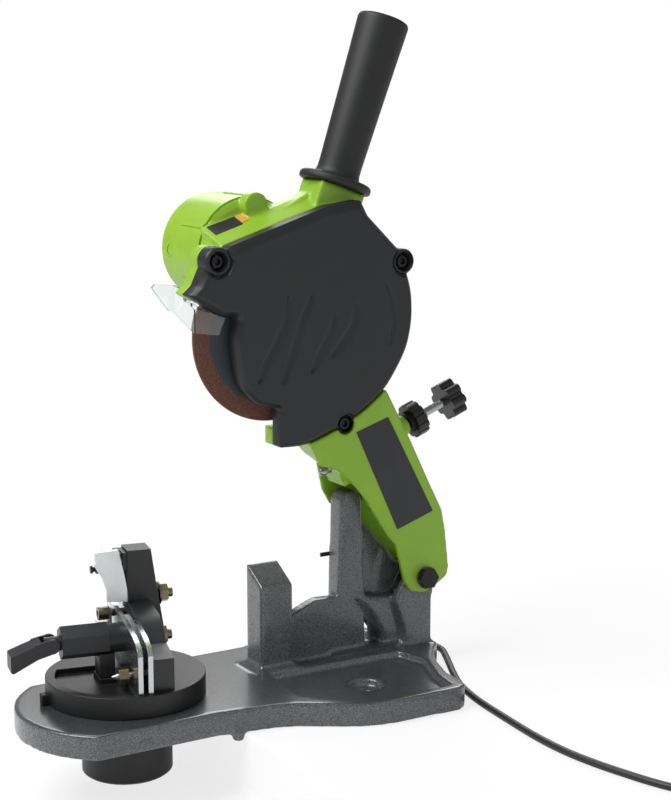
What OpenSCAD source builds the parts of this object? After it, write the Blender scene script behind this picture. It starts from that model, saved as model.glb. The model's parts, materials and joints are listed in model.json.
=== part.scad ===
// Bench-mounted electric chain grinder. Millimetres, +X to the rear,
// +Y away from the operator's side, +Z up. Drawn about the turntable axis,
// then moved so that the origin is midway between the two bench bolts.

/* [Grinding wheel] */
// Outside diameter of the grinding wheel
wheel_d = 145; // [100:1:150]
// Thickness of the grinding wheel
wheel_t = 3.2; // [3:0.1:6]
// Bore of the grinding wheel
wheel_bore = 22.2; // [16:0.1:22.2]
// Distance of the wheel axis behind the turntable axis
wheel_x = 137.4; // [120:0.1:150]
// Height of the wheel axis above the bench
wheel_z = 305.3; // [280:0.1:320]

/* [Base] */
// Thickness of the base plate
plate_t = 20; // [14:0.5:26]
// Radius of the rounded nose of the plate
nose_r = 85; // [80:1:90]
// Distance of the bench bolts behind the turntable axis
bench_bolt_x = 188; // [170:1:200]
// Distance between the bench bolts
bench_bolt_gap = 114; // [100:1:120]
// Radius of each bench bolt hole
bench_hole_r = 6; // [4:0.5:7]
// Depth of the well in the rear of the plate
well_d = 6; // [0:0.5:7]
// Length of the depth stop post along the base
post_len = 31; // [24:1:34]
// Width of the depth stop post across the base
post_w = 28; // [20:1:30]
// Height of the cord strap on the mast
tie_z = 104; // [96:1:112]
// Width of the cord strap
tie_w = 3.6; // [2.5:0.1:4.8]

/* [Pivot] */
// Distance of the arm pivot behind the turntable axis
pivot_x = 279; // [270:0.5:285]
// Height of the arm pivot above the bench
pivot_z = 82; // [75:0.5:90]
// Radius of the pivot bolt shank
pivot_r = 5; // [4:0.5:6]
// Across flats of the pivot bolt head
pivot_af = 17; // [13:1:19]

/* [Turntable] */
// Diameter of the turntable disc
disc_d = 130; // [110:1:134]
// Height of the turntable disc
disc_h = 17.7; // [12:0.1:20]
// Angle at which the vise is shown, from straight across
vise_angle = -12; // [-35:1:35]
// Depth of the recess in the disc
recess_d = 5; // [2:0.5:8]
// Radius of the lock knob under the plate
knob_r = 37; // [25:1:40]

/* [Vise] */
// Thickness of each chain rail
rail_t = 4; // [3:0.5:5]
// Gap between the rails, for the drive links of a chain
rail_gap = 4; // [2:0.5:5]
// Height of the tall plate of the vise
tall_h = 94; // [80:1:100]
// Across flats of the hexagon clamp sleeve
sleeve_af = 24; // [18:1:26]

/* [Arm and guard] */
// Thickness of the cheek on the operator's side
near_cheek_t = 5; // [3:0.5:6]
// Thickness of the far cheek
far_cheek_t = 4; // [3:0.5:5]
// Thickness of the guard cover walls
cover_wall = 2.5; // [2:0.5:4]
// Depth of the guard cover
cover_d = 16; // [12:0.5:18]
// Thickness of the clear shield
shield_t = 1.6; // [1:0.1:3]

/* [Handle] */
// Radius of the grip at its flange
grip_r0 = 18; // [14:0.5:20]
// Radius of the grip at its free end
grip_r1 = 22; // [16:0.5:24]
// Length of the grip above its flange
grip_len = 140; // [100:1:160]
// Radius of the flange under the grip
flange_r = 31; // [26:0.5:34]

/* [Motor and drive] */
// Distance of the motor axis behind the turntable axis
motor_x = 130; // [120:1:140]
// Height of the motor axis above the bench
motor_z = 371; // [360:1:380]
// Outside radius of the motor housing
motor_r = 47; // [42:0.5:48]
// Length of the motor housing without its cap
motor_len = 58; // [50:1:64]
// Pitch radius of the driven pulley
driven_r = 22.9; // [18:0.1:24]
// Pitch radius of the motor pulley
drive_r = 9.54; // [7:0.02:12]

/* [Depth stop] */
// Radius of the depth screw
depth_r = 3.75; // [3:0.05:5]
// Length of the depth screw
depth_len = 148; // [120:1:160]
// Slope of the depth screw to the bench, in degrees
depth_slope = 21.3; // [15:0.1:30]

/* [Cord] */
// Radius of the supply cord
cord_r = 3; // [2.5:0.1:4]
// Loops in each layer of the coiled lead
coil_loops = 3; // [1:1:4]
// Sections of tube in each loop of the coil
coil_rings = 24; // [12:1:24]

/* [Hidden] */
$fn = 64;
mid_y = -11;
bolt_seat_z = 7;
disc_z = plate_t + 0.3;
vise_z = disc_z + disc_h;
green = [0.48, 0.72, 0.12];
black = [0.16, 0.16, 0.17];
iron = [0.38, 0.39, 0.40];
steel = [0.72, 0.73, 0.75];
brass = [0.70, 0.58, 0.32];
copper = [0.72, 0.42, 0.24];

// outline of the plate, near edge first, then the far edge
plate_pts = [
    [-10, -80], [39, -80], [59, -83], [80, -86], [96, -89.5],
    [108, -95], [122, -104], [138, -114], [152, -122], [168, -127],
    [190, -129.5], [242, -130], [249, -126], [252, -118],
    [254, -92], [268, -52], [284, -30], [294, -20], [294, 6],
    [284, 18], [268, 34], [254, 72], [251, 98], [247, 106],
    [240, 108], [205, 108], [185, 98], [172, 84], [160, 71],
    [148, 62], [138, 58], [-10, 58]
];
near_well_pts = [
    [123, -20], [119, -76], [130, -92], [148, -106], [166, -116],
    [190, -119], [238, -120], [243, -92], [257, -54], [250, -24]
];
far_well_pts = [
    [150, 22], [150, 46], [164, 60], [188, 86], [208, 97],
    [238, 97], [243, 70], [256, 34], [250, 22]
];

// outline of the guard cover
cover_pts = [
    [134, 213], [157, 213], [178, 219.5], [195, 226], [218, 239],
    [232, 249.5], [242, 260], [256, 282], [262, 300], [264, 320],
    [261, 343], [249, 372], [219, 401], [212, 414], [180, 410],
    [91, 382], [66, 364], [60, 351], [52, 344], [83, 326],
    [96, 324], [93, 308], [94, 294], [98, 271], [106, 259],
    [116, 251], [134, 246]
];
// the same outline drawn in by the wall, for the hollow of the cover
cover_mid = [172, 315];
screw_ears = [[78, 370, 12], [254, 361, 11], [197, 227, 8]];

// outline of the belt box behind the wheel
box_pts = [
    [238, 252], [254, 282], [260, 320], [258, 343], [247, 370],
    [219, 401], [212, 414], [194, 425], [184, 423], [151, 406.5],
    [88, 386.8], [81, 366], [104, 314], [107, 290], [122, 274],
    [140, 271], [165, 268], [180, 252], [196, 228], [216, 238]
];
// slope of the shoulder, from the edge of the cover back to the motor
shoulder_turn = 17.46;
shoulder_rise = 13.5;
shoulder_y = -7.5;
near_cheek_pts = [
    [238, 252], [263, 206], [284, 164], [296, 141], [300, 122],
    [304, 88], [302, 80], [290, 72.5], [278, 68], [264, 71],
    [258, 79], [253, 98], [248, 115], [241, 122], [230, 139],
    [218, 158], [205, 174], [191, 187], [172, 194], [163, 212],
    [163, 240], [215, 262]
];
far_cheek_pts = [
    [238, 252], [263, 206], [284, 164], [296, 141], [300, 122],
    [304, 88], [302, 80], [290, 72.5], [278, 68], [264, 71],
    [258, 79], [248, 115], [240, 125], [218, 147], [207, 148],
    [199, 162], [194, 185], [194, 207], [182, 224], [196, 240]
];
block_pts = [
    [163, 212], [175, 199], [191, 187], [200, 171], [218, 183.5],
    [240, 194], [266, 200.5], [263, 206], [238, 252], [230, 262],
    [205, 262], [196, 238], [163, 224]
];

// wheel and motor line, for the belt
belt_dx = motor_x - wheel_x;
belt_dz = motor_z - wheel_z;
belt_len = sqrt(belt_dx * belt_dx + belt_dz * belt_dz);
belt_a = atan2(belt_dz, belt_dx);
belt_b = acos((driven_r - drive_r) / belt_len);

// depth screw line, from its rounded tip
tip_x = 183.4;
tip_z = 181.8;

// handle line
hand_x = 204.4;
hand_y = 10;
hand_z = 424;
hand_tilt = 19.6;

// moves the turntable axis frame to the frame of the bench bolts
module placed() {
    translate([-bench_bolt_x, -mid_y, 0])
        children();
}

// the frame of the vise, on top of the disc
module on_disc() {
    placed()
        translate([0, 0, vise_z])
            rotate([0, 0, vise_angle])
                children();
}

// the frame of a cylinder along +Y through a point of the X-Z plane
module across(x, z, y0) {
    placed()
        translate([x, y0, z])
            rotate([-90, 0, 0])
                children();
}

// a flat shape given in X and Z, thick along Y from y0 to y1
module side_plate(y0, y1) {
    placed()
        translate([0, y1, 0])
            rotate([90, 0, 0])
                linear_extrude(height = y1 - y0)
                    children();
}

// the frame of the depth screw: +Z runs from its tip to the star knob
module on_depth() {
    placed()
        translate([tip_x, 0, tip_z])
            rotate([0, 90 - depth_slope, 0])
                children();
}

// the frame of the handle: +Z runs up the grip
module on_handle() {
    placed()
        translate([hand_x, hand_y, hand_z])
            rotate([0, hand_tilt, 0])
                children();
}

module hexagon(af, h) {
    cylinder(h = h, r = af / 2 / cos(30), $fn = 6);
}

// ring of points of a round tube, normal to its path
function unit(v) = v / norm(v);
function path_dir(p, i) =
    i == 0 ? unit(p[1] - p[0]) :
    i == len(p) - 1 ? unit(p[i] - p[i - 1]) :
    unit(p[i + 1] - p[i - 1]);
function side_dir(t, up) = unit(cross(up, t));
function tube_ring(c, t, r, n, up) =
    let (a = side_dir(t, up), b = cross(t, a))
    [for (k = [0 : n - 1])
        c + r * (cos(360 * k / n) * a + sin(360 * k / n) * b)];
function tube_points(p, r, n, up) = [
    for (i = [0 : len(p) - 1])
        each tube_ring(p[i], path_dir(p, i), r, n, up)
];
function tube_faces(m, n) = concat(
    [[for (k = [n - 1 : -1 : 0]) k]],
    [for (i = [0 : m - 2]) for (k = [0 : n - 1])
        [i * n + k, i * n + (k + 1) % n, (i + 1) * n + (k + 1) % n,
            (i + 1) * n + k]],
    [[for (k = [0 : n - 1]) (m - 1) * n + k]]
);
module tube(p, r, n, up) {
    polyhedron(
        points = tube_points(p, r, n, up),
        faces = [for (f = tube_faces(len(p), n))
            [for (k = [len(f) - 1 : -1 : 0]) f[k]]],
        convexity = 10
    );
}
// smooth line through given points, s steps to each span
function spline_at(p, i, t) =
    let (
        a = p[max(i - 1, 0)], b = p[i], c = p[i + 1],
        d = p[min(i + 2, len(p) - 1)]
    )
    0.5 * (2 * b + (c - a) * t + (2 * a - 5 * b + 4 * c - d) * t * t
        + (3 * b - a - 3 * c + d) * t * t * t);
function smooth(p, s) = concat(
    [for (i = [0 : len(p) - 2]) for (k = [0 : s - 1])
        spline_at(p, i, k / s)],
    [p[len(p) - 1]]
);

// ------------------------------------------------------------ base

// cast plate with nose, stop post, wall, mast and two pivot ears
module base_casting() {
    color(iron)
    placed()
    difference() {
        union() {
            linear_extrude(height = plate_t) {
                polygon(plate_pts);
                intersection() {
                    translate([-10, mid_y])
                        circle(r = nose_r, $fn = 96);
                    translate([-100, -80])
                        square([120, 138]);
                }
            }
            post();
            mast();
            for (y = [-81, 53])
                translate([60, y, -6])
                    cylinder(h = 10, r = 5);
        }
        translate([0, 0, plate_t - well_d])
            linear_extrude(height = 30)
                difference() {
                    union() {
                        polygon(near_well_pts);
                        polygon(far_well_pts);
                    }
                    translate([112, -20])
                        square([160, 42]);
                }
        for (s = [-1, 1])
            translate([bench_bolt_x, mid_y + s * bench_bolt_gap / 2, 0]) {
                translate([0, 0, -1])
                    cylinder(h = plate_t + 2, r = bench_hole_r);
                translate([0, 0, bolt_seat_z])
                    cylinder(h = plate_t, r = 14);
            }
        translate([0, 0, -1])
            cylinder(h = plate_t + 2, r = 6.06);
        translate([-27, -81, 8])
            cube([14, 2.5, 5]);
        translate([216, 12.1, 80])
            cube([16, 3, 58]);
        translate([225.1, 5.5, tie_z - 0.4])
            cube([2.1, 7, tie_w + 0.8]);
        translate([pivot_x, -40, pivot_z])
            rotate([-90, 0, 0])
                cylinder(h = 80, r = 8.04);
    }
}
module post() {
    translate([119, 0, 0])
        rotate([90, 0, 90])
            linear_extrude(height = post_len)
                polygon([
                    [-post_w / 2, 10], [post_w / 2, 10],
                    [post_w / 2, 109.5], [-post_w / 2, 93.5]
                ]);
    translate([114, -19, 10])
        cube([41, 38, 12.5]);
}
module mast() {
    upright(-6, 6)
        polygon([
            [149, 15], [149, 60], [158, 65], [178, 72.6], [217, 71],
            [217, 15]
        ]);
    upright(-6, 13.4) {
        polygon([
            [196, 15], [199, 70], [202, 154.5], [223, 154.5],
            [226, 70], [228, 15]
        ]);
        translate([212.5, 154.5])
            circle(r = 10.5);
    }
    upright(-9, 12)
        polygon([
            [246, 15], [243, 32], [232, 52], [216, 71.5], [240, 66],
            [262, 66], [262, 15]
        ]);
    upright(6, 12)
        polygon([
            [224, 60], [224, 140], [236, 128], [250, 112], [266, 90],
            [266, 60]
        ]);
    upright(-16.7, -8.5) {
        polygon([
            [261, 15], [261, 35], [251, 64], [264, 84], [294, 82],
            [290, 60], [290, 22], [293, 15]
        ]);
        translate([pivot_x, pivot_z])
            circle(r = 15);
    }
    upright(4, 13.4) {
        polygon([
            [240, 15], [238, 66], [253, 109], [266, 92], [294, 82],
            [290, 60], [290, 22], [293, 15]
        ]);
        translate([pivot_x, pivot_z])
            circle(r = 15);
    }
    upright(-9, 5)
        polygon([[260, 15], [260, 50], [290, 50], [292, 15]]);
    translate([190, -14, 10])
        cube([96, 27, 13]);
}
module upright(y0, y1) {
    translate([0, y1, 0])
        rotate([90, 0, 0])
            linear_extrude(height = y1 - y0)
                children();
}

// hexagon bolt that the arm turns on
module pivot_bolt() {
    color(black)
    across(pivot_x, pivot_z, -29.4) {
        hexagon(pivot_af, 6.4);
        cylinder(h = 62, r = pivot_r);
    }
}

// locknut and two washers of the pivot bolt
module pivot_nut() {
    color(steel) {
        across(pivot_x, pivot_z, 24.9)
            difference() {
                hexagon(pivot_af, 7.5);
                translate([0, 0, -1])
                    cylinder(h = 10, r = pivot_r);
            }
        for (y = [-23, 24.1])
            across(pivot_x, pivot_z, y)
                difference() {
                    cylinder(h = 0.8, r = 9.5);
                    translate([0, 0, -1])
                        cylinder(h = 4, r = pivot_r);
                }
    }
}

// sleeve on the bolt, pressed in both ears
module pivot_sleeve() {
    color(steel)
    across(pivot_x, pivot_z, -16.95)
        difference() {
            cylinder(h = 36.9, r = 8);
            translate([0, 0, -1])
                cylinder(h = 40, r = pivot_r + 0.05);
        }
}

// torsion spring round the sleeve, one leg on the mast
function spring_pts(r, y0, pitch, turns, steps, a0) = [
    for (i = [0 : turns * steps])
        let (a = a0 + 360 * i / steps)
        [r * cos(a), y0 + pitch * i / steps, r * sin(a)]
];
module return_spring() {
    coil = spring_pts(10.6, -7.1, 2.4, 4, 20, 149);
    leg = [
        for (k = [1 : 3])
            coil[80] + 7 * k * [-0.515, 0, -0.857]
    ];
    color(steel)
    placed()
        translate([pivot_x, 0, pivot_z])
            tube(concat(coil, leg), 1, 8, [0, 1, 0]);
}

// strap over the cord: through a slot in the web, with its tail to the front
module cable_tie() {
    color(black)
    placed() {
        translate([214.6, 18.5, tie_z])
            cube([12.2, 1.1, tie_w]);
        translate([214.6, 13.45, tie_z])
            cube([1.4, 6.15, tie_w]);
        translate([193, 13.45, tie_z])
            cube([23, 1.3, tie_w]);
        translate([225.4, 4.4, tie_z])
            cube([1.4, 15.2, tie_w]);
        translate([225.1, 1.6, tie_z - 1])
            cube([4.6, 4.2, tie_w + 2]);
    }
}

// cord path from the arm, down the mast and over the bench
cord_pts = [
    [247, 16.8, 196], [247, 16.8, 186], [239, 16.8, 160],
    [225, 16.3, 134], [221.4, 15.3, 112], [221.8, 15.4, 98],
    [229, 17.5, 78], [237, 20, 56], [246, 24, 38], [256, 29, 27],
    [268, 37, 23.4], [280, 42, 16], [291, 41, 6], [304, 35, 3],
    [313, 21, 3], [314, 3, 3], [306, -16, 3], [296, -36, 3],
    [284, -60, 3], [272, -88, 3], [263, -125, 3], [257, -174, 3],
    [253, -218, 3], [253, -254, 3], [257, -285, 3], [263, -312, 3], [269, -334, 3],
    [276, -352, 3], [286, -367, 3], [300, -378, 3], [318, -383, 3],
    [340, -384, 3], [356, -384, 3], [369.9, -384, 3]
];
module supply_cord() {
    color(black)
    placed()
        tube(smooth(cord_pts, 3), cord_r, 8, [0.1, 0.05, 1]);
}

// the rest of the lead in two layers, in and then out
coil_c = [370, -429];
coil_r0 = 45;
coil_step = 6.5;
coil_in = coil_loops * coil_rings;
function coil_pt(i) =
    let (
        up = i > coil_in,
        j = up ? 2 * coil_in - i : i,
        r = coil_r0 - coil_step * j / coil_rings,
        a = 90 - 360 * i / coil_rings,
        s = min(max((i - coil_in + 6) / 12, 0), 1),
        e = s * s * (3 - 2 * s)
    )
    [coil_c[0] + r * cos(a), coil_c[1] + r * sin(a),
        cord_r + e * 6.9];
coil_tail = 24;
coil_path = concat(
    [for (i = [0 : 2 * coil_in]) coil_pt(i)],
    [for (k = [0.5, 1]) coil_pt(2 * coil_in) + [k * coil_tail, 0, 0]]
);
coil_gap = min([
    for (i = [0 : 3 : 2 * coil_in]) for (j = [i + 9 : 1 : 2 * coil_in])
        norm(coil_path[i] - coil_path[j])
]) - 2 * cord_r;
module cord_coil() {
    echo(least_self_gap_of_coil_mm = coil_gap);
    color(black)
    placed()
        tube(coil_path, cord_r, 6, [0.02, 0.01, 1]);
}

// two-pin mains plug lying beside the coil
module plug() {
    color(black)
    placed()
        translate([plug_x, plug_y, 9.9]) {
            rotate([0, 90, 0]) {
                cylinder(h = 14, r1 = 5, r2 = 8);
                translate([0, 0, 14])
                    cylinder(h = 26, r = 9.5);
                translate([0, 0, 40])
                    cylinder(h = 8, r1 = 8, r2 = 9.8);
                translate([0, 0, 48])
                    cylinder(h = 5, r = 9.8);
            }
            for (s = [-1, 1])
                translate([52, s * 5, 0])
                    rotate([0, 90, 0])
                        cylinder(h = 20, r = 2.4, $fn = 24);
        }
}
plug_x = coil_c[0] + coil_tail;
plug_y = coil_c[1] + coil_r0;

// ------------------------------------------------------- turntable

// disc with its recessed floor and pointer lug
module turntable_disc() {
    color(black)
    placed()
    translate([0, 0, disc_z])
    difference() {
        union() {
            cylinder(h = disc_h, r = disc_d / 2, $fn = 120);
            rotate([0, 0, 173])
                translate([60, -4, 0])
                    cube([11, 8, 9]);
        }
        translate([0, 0, -1])
            cylinder(h = disc_h + 2, r = 6.03);
        rotate([0, 0, vise_angle])
            translate([0, 0, disc_h - recess_d])
                linear_extrude(height = 20)
                    difference() {
                        circle(r = 57, $fn = 96);
                        translate([-6, -90])
                            square([120, 180]);
                        translate([-24, -12])
                            square([40, 24]);
                        translate([-90, 24])
                            square([120, 80]);
                    }
    }
}

// stud down through the plate to the lock knob
module centre_stud() {
    color(steel)
    placed()
        translate([0, 0, -34])
            cylinder(h = 34 + disc_z + disc_h - recess_d - 2, r = 6);
}

// block, ramp and tall plate that hold the fixed rail
module vise_casting() {
    color(black)
    on_disc()
    difference() {
        union() {
            translate([9.05, 0, 0])
                rotate([90, 0, 90])
                    linear_extrude(height = 18)
                        polygon([
                            [-55, 0], [-55, 26], [-30, 31], [-20, 42],
                            [-8, 48], [24, 51], [27, 51], [27, 0]
                        ]);
            translate([0, 48, 0])
                rotate([90, 0, 0])
                    linear_extrude(height = 22)
                        polygon([
                            [9.05, 0], [9.05, 94], [29, tall_h],
                            [33, 65], [41, 13], [41, 0]
                        ]);
            translate([-23, -10, 0])
                cube([12.4, 20, 20]);
        }
        translate([0, 36, 53])
            rotate([0, 90, 0])
                cylinder(h = 60, r = 4.05);
        translate([0, 4, 27])
            rotate([0, 90, 0])
                cylinder(h = 60, r = 4.05);
        translate([-30, 30, 42])
            rotate([0, 90, 0])
                cylinder(h = 80, r = 3.05);
        translate([0, -30, 7])
            rotate([0, 90, 0])
                cylinder(h = 22, r = 3.05);
        translate([-30, 0, 30])
            rotate([0, 90, 0]) {
                cylinder(h = 30, r = 12.1);
                cylinder(h = 15.2, r = 14.2);
            }
        translate([5, 32, 85])
            rotate([0, 90, 0])
                cylinder(h = 15, r = 2.55);
    }
}

// shape of a rail in Y and Z of the vise
rail_pts = [
    [-60, 0.3], [-60, 31], [-57.5, 35.5], [-52, 38.5], [-40, 42],
    [-22, 44.5], [0, 46.5], [25, 48], [42, 48.5], [45, 46],
    [45, 22], [38, 14], [26, 6], [14, 0.3]
];
module rail(x0) {
    translate([x0, 0, 0])
        rotate([90, 0, 90])
            linear_extrude(height = rail_t)
                polygon(rail_pts);
}
// rail against the block
module fixed_rail() {
    color(steel)
    on_disc()
    difference() {
        rail(5);
        translate([0, 30, 42])
            rotate([0, 90, 0])
                cylinder(h = 20, r = 3.3);
        translate([0, -30, 7])
            rotate([0, 90, 0])
                cylinder(h = 20, r = 3.3);
    }
}
// rail that the clamp pushes against the chain
module movable_rail() {
    color(steel)
    on_disc()
    difference() {
        rail(5 - rail_gap - rail_t);
        translate([-8, 30, 42])
            rotate([0, 90, 0])
                cylinder(h = 20, r = 3.4);
        translate([-8, -30, 7])
            rotate([0, 90, 0])
                cylinder(h = 20, r = 3.4);
    }
}

// two bolts of the fixed rail with nuts and washers
module rail_bolts() {
    color(brass)
    on_disc()
    for (p = [[36, 53, 36.4], [4, 27, 27.4]])
        translate([0, p[0], p[1]])
            rotate([0, 90, 0]) {
                translate([0, 0, 9.2])
                    cylinder(h = p[2] + 3, r = 4);
                translate([0, 0, p[2]])
                    cylinder(h = 1.6, r = 9.5);
                translate([0, 0, p[2] + 1.6])
                    hexagon(13, 6.5);
            }
}

// socket head screw through both rails
module socket_screw() {
    color(steel)
    on_disc()
    translate([0, 30, 42])
        rotate([0, 90, 0])
            difference() {
                union() {
                    translate([0, 0, -16])
                        cylinder(h = 9, r = 5.5);
                    translate([0, 0, -8])
                        cylinder(h = 40, r = 3);
                }
                translate([0, 0, -17])
                    cylinder(h = 6, r = 2.9, $fn = 6);
            }
}

// bright strip held by the socket screw
module rail_bracket() {
    color(steel)
    on_disc()
    difference() {
        union() {
            translate([-6.8, 24, 30])
                cube([1.6, 12, 18]);
            translate([-17, 24, 33.4])
                cube([11, 12, 1.8]);
        }
        translate([-20, 30, 42])
            rotate([0, 90, 0])
                cylinder(h = 20, r = 3.2);
    }
}

// stud with a cone tip through the front of the rails
module front_stud() {
    color(steel)
    on_disc()
    translate([0, -30, 7])
        rotate([0, 90, 0]) {
            translate([0, 0, -18])
                cylinder(h = 5, r1 = 0.8, r2 = 3);
            translate([0, 0, -13])
                cylinder(h = 34, r = 3);
        }
}

// brass nut on the stud
module brass_nut() {
    color(brass)
    on_disc()
    translate([-12.9, -30, 7])
        rotate([0, 90, 0])
            difference() {
                rotate([0, 0, 30])
                    hexagon(13, 8);
                translate([0, 0, -1])
                    cylinder(h = 12, r = 3);
            }
}

// hinge block of the stop pawl, on the side of the tall plate
module pawl_block() {
    color(black)
    on_disc()
    difference() {
        union() {
            translate([1, 38, 56])
                cube([8, 9, 36]);
            for (x = [1, 5.6])
                translate([x, 27.4, 77])
                    cube([3.4, 12, 15]);
        }
        translate([0, 32, 85])
            rotate([0, 90, 0])
                cylinder(h = 12, r = 2.55);
    }
}

// pin that the pawl turns on
module pawl_pin() {
    color(steel)
    on_disc()
    translate([-12, 32, 85])
        rotate([0, 90, 0]) {
            cylinder(h = 30, r = 2.5);
            translate([0, 0, -1.6])
                cylinder(h = 1.6, r = 4);
        }
}

// torsion spring of the pawl
module pawl_spring() {
    pts = spring_pts(4.2, 0, 1.35, 3, 20, 0);
    color(steel)
    on_disc()
    translate([0.2, 32, 85])
        rotate([0, 0, -90])
            translate([0, -4.7, 0])
                tube([for (i = [len(pts) - 1 : -1 : 0]) pts[i]],
                    0.55, 6, [0, 1, 0]);
}

// hexagon sleeve and stub of the chain clamp
module clamp_spindle() {
    color(black)
    on_disc()
    translate([0, 0, 30])
        rotate([0, 90, 0])
            difference() {
                union() {
                    translate([0, 0, -53])
                        hexagon(sleeve_af, 38);
                    translate([0, 0, -26])
                        cylinder(h = 22.96, r = 11.95);
                    translate([0, 0, -66])
                        cylinder(h = 14, r = 6);
                }
                translate([0, -20, -60.5])
                    rotate([-90, 0, 0])
                        cylinder(h = 40, r = 2.55);
            }
}

// flat lever that works the clamp
module clamp_lever() {
    color(black)
    on_disc()
    translate([0, 0, 30]) {
        for (y = [-9.6, 6.3])
            translate([0, y, 0])
                rotate([-90, 0, 0])
                    linear_extrude(height = 3.3) {
                        translate([-60.5, 0])
                            circle(r = 6);
                        polygon([
                            [-60.5, 6], [-75, 10], [-75, -3], [-60.5, -6]
                        ]);
                    }
        translate([0, -9.6, 0])
            rotate([-90, 0, 0])
                linear_extrude(height = 19.2)
                    polygon([
                        [-69, 7.6], [-92, 19], [-94, 18],
                        [-94, 5], [-92, 4], [-69, -4.2]
                    ]);
        translate([-60.5, -9.6, 0])
            rotate([-90, 0, 0])
                cylinder(h = 19.2, r = 2.5);
    }
}

// silver pawl that a cutter of the chain rests against
module stop_pawl() {
    color(steel)
    on_disc()
    difference() {
        union() {
            translate([0, 24, 0])
                rotate([90, 0, 0])
                    linear_extrude(height = 4.6)
                        polygon([
                            [-19, 96], [0.4, 97], [5, 76], [7, 64],
                            [7, 53], [-10, 54], [-10, 64],
                            [-13.5, 74.5], [-19, 84]
                        ]);
            translate([-10.4, 19.4, 78.6])
                cube([5.4, 18, 16]);
        }
        translate([-30, 32, 85])
            rotate([0, 90, 0])
                cylinder(h = 40, r = 2.56);
    }
}

// small adjusting screw at the edge of the pawl
module pawl_screw() {
    color(black)
    on_disc()
    translate([-19.6, 27.5, 80.5])
        rotate([0, 90, 0]) {
            cylinder(h = 9, r = 2);
            translate([0, 0, 2.4])
                hexagon(7, 2.8);
            translate([0, 0, -2])
                cylinder(h = 2, r = 3.2);
        }
}

// round knob under the plate that locks the turntable
module lock_knob() {
    color(black)
    placed()
    difference() {
        union() {
            translate([0, 0, -46])
                cylinder(h = 3, r1 = knob_r - 4, r2 = knob_r, $fn = 96);
            translate([0, 0, -43])
                cylinder(h = 35, r = knob_r, $fn = 96);
            translate([0, 0, -8])
                cylinder(h = 7.6, r = 20);
        }
        translate([0, 0, -50])
            cylinder(h = 60, r = 11);
        translate([0, 0, -46.5])
            cylinder(h = 8.5, r = 24);
    }
}

// threaded insert of the knob
module knob_insert() {
    color(brass)
    placed()
        translate([0, 0, -36])
            difference() {
                cylinder(h = 35.6, r = 11);
                translate([0, 0, -1])
                    cylinder(h = 40, r = 6.06);
            }
}

// ------------------------------------------------------------- arm

module about(p, k) {
    translate(p)
        scale(k)
            translate(-p)
                children();
}
module cover_2d() {
    polygon(cover_pts);
    for (e = screw_ears)
        translate([e[0], e[1]])
            circle(r = e[2]);
}
// belt line shape, d outside the pitch radii
module belt_2d(d) {
    w = [wheel_x, wheel_z];
    m = [motor_x, motor_z];
    p = [cos(belt_a + belt_b), sin(belt_a + belt_b)];
    q = [cos(belt_a - belt_b), sin(belt_a - belt_b)];
    translate(w)
        circle(r = driven_r + d);
    translate(m)
        circle(r = drive_r + d);
    polygon([
        w + (driven_r + d) * p, m + (drive_r + d) * p,
        m + (drive_r + d) * q, w + (driven_r + d) * q
    ]);
}
hollow_pts = [
    [214, 262], [234, 264], [248, 284], [255, 310], [255, 330],
    [252, 343], [242, 366], [218, 390], [208, 380], [217, 342],
    [219, 312], [217, 285]
];

// one casting: arm fork, rim round the wheel and belt box
module arm_housing() {
    color(green)
    difference() {
        union() {
            side_plate(-7.7, 6.2)
                difference() {
                    cover_2d();
                    translate([wheel_x, wheel_z])
                        circle(r = 77, $fn = 128);
                }
            side_plate(6, 24) {
                polygon(box_pts);
                translate([wheel_x, wheel_z])
                    circle(r = 34);
            }
            across(motor_x, motor_z, 20.2)
                cylinder(h = 3.8, r1 = motor_r - 7, r2 = motor_r + 2,
                    $fn = 96);
            side_plate(12, 24)
                translate([131.5, 410.5])
                    circle(r = 11);
            on_shoulder(0, 50)
                polygon([
                    [shoulder_y, -8], [shoulder_y, 0],
                    [24, shoulder_rise], [24, -8]
                ]);
            on_shoulder(49.9, 96)
                polygon([
                    [shoulder_y, -8], [shoulder_y, 0], [13, 8.8],
                    [24, 8.8], [24, -8]
                ]);
            side_plate(-22, -22 + near_cheek_t)
                clipped_cheek();
            side_plate(20, 20 + far_cheek_t)
                polygon(far_cheek_pts);
            side_plate(-17.2, -7.6)
                difference() {
                    polygon(block_pts);
                    about(cover_mid, 1.008)
                        cover_2d();
                }
            side_plate(-7.7, 12)
                polygon(block_pts);
            side_plate(6, 24)
                polygon([
                    [196, 228], [216, 238], [238, 252], [230, 262],
                    [190, 262]
                ]);
            on_depth()
                translate([0, 0, 62])
                    cylinder(h = 32, r = 9);
            on_handle()
                translate([-22, -17, -34])
                    cube([44, 34, 34]);
            across(wheel_x, wheel_z, 24)
                cylinder(h = 4.5, r = 15);
        }
        side_plate(9.5, 21)
            belt_2d(4.2);
        side_plate(-8, 21)
            polygon(hollow_pts);
        across(wheel_x, wheel_z, 5)
            cylinder(h = 30, r = 9);
        across(wheel_x, wheel_z, 20.5)
            cylinder(h = 6.2, r = 12.03);
        across(motor_x, motor_z, 18)
            cylinder(h = 10, r = 13);
        across(pivot_x, pivot_z, -30)
            cylinder(h = 60, r = pivot_r + 0.06);
        on_depth()
            translate([0, 0, -10])
                cylinder(h = 120, r = depth_r + 0.05);
        on_handle()
            translate([0, 0, -22])
                cylinder(h = 30, r = 6.03);
        placed() {
            translate([226, 16.8, 230])
                cylinder(h = 40, r = 5);
            translate([227.6, 20, 308.1])
                cube([20.8, 8, 31.8]);
        }
        for (e = screw_ears)
            across(e[0], e[1], -9)
                cylinder(h = 14, r = 2.52);
    }
}

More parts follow.
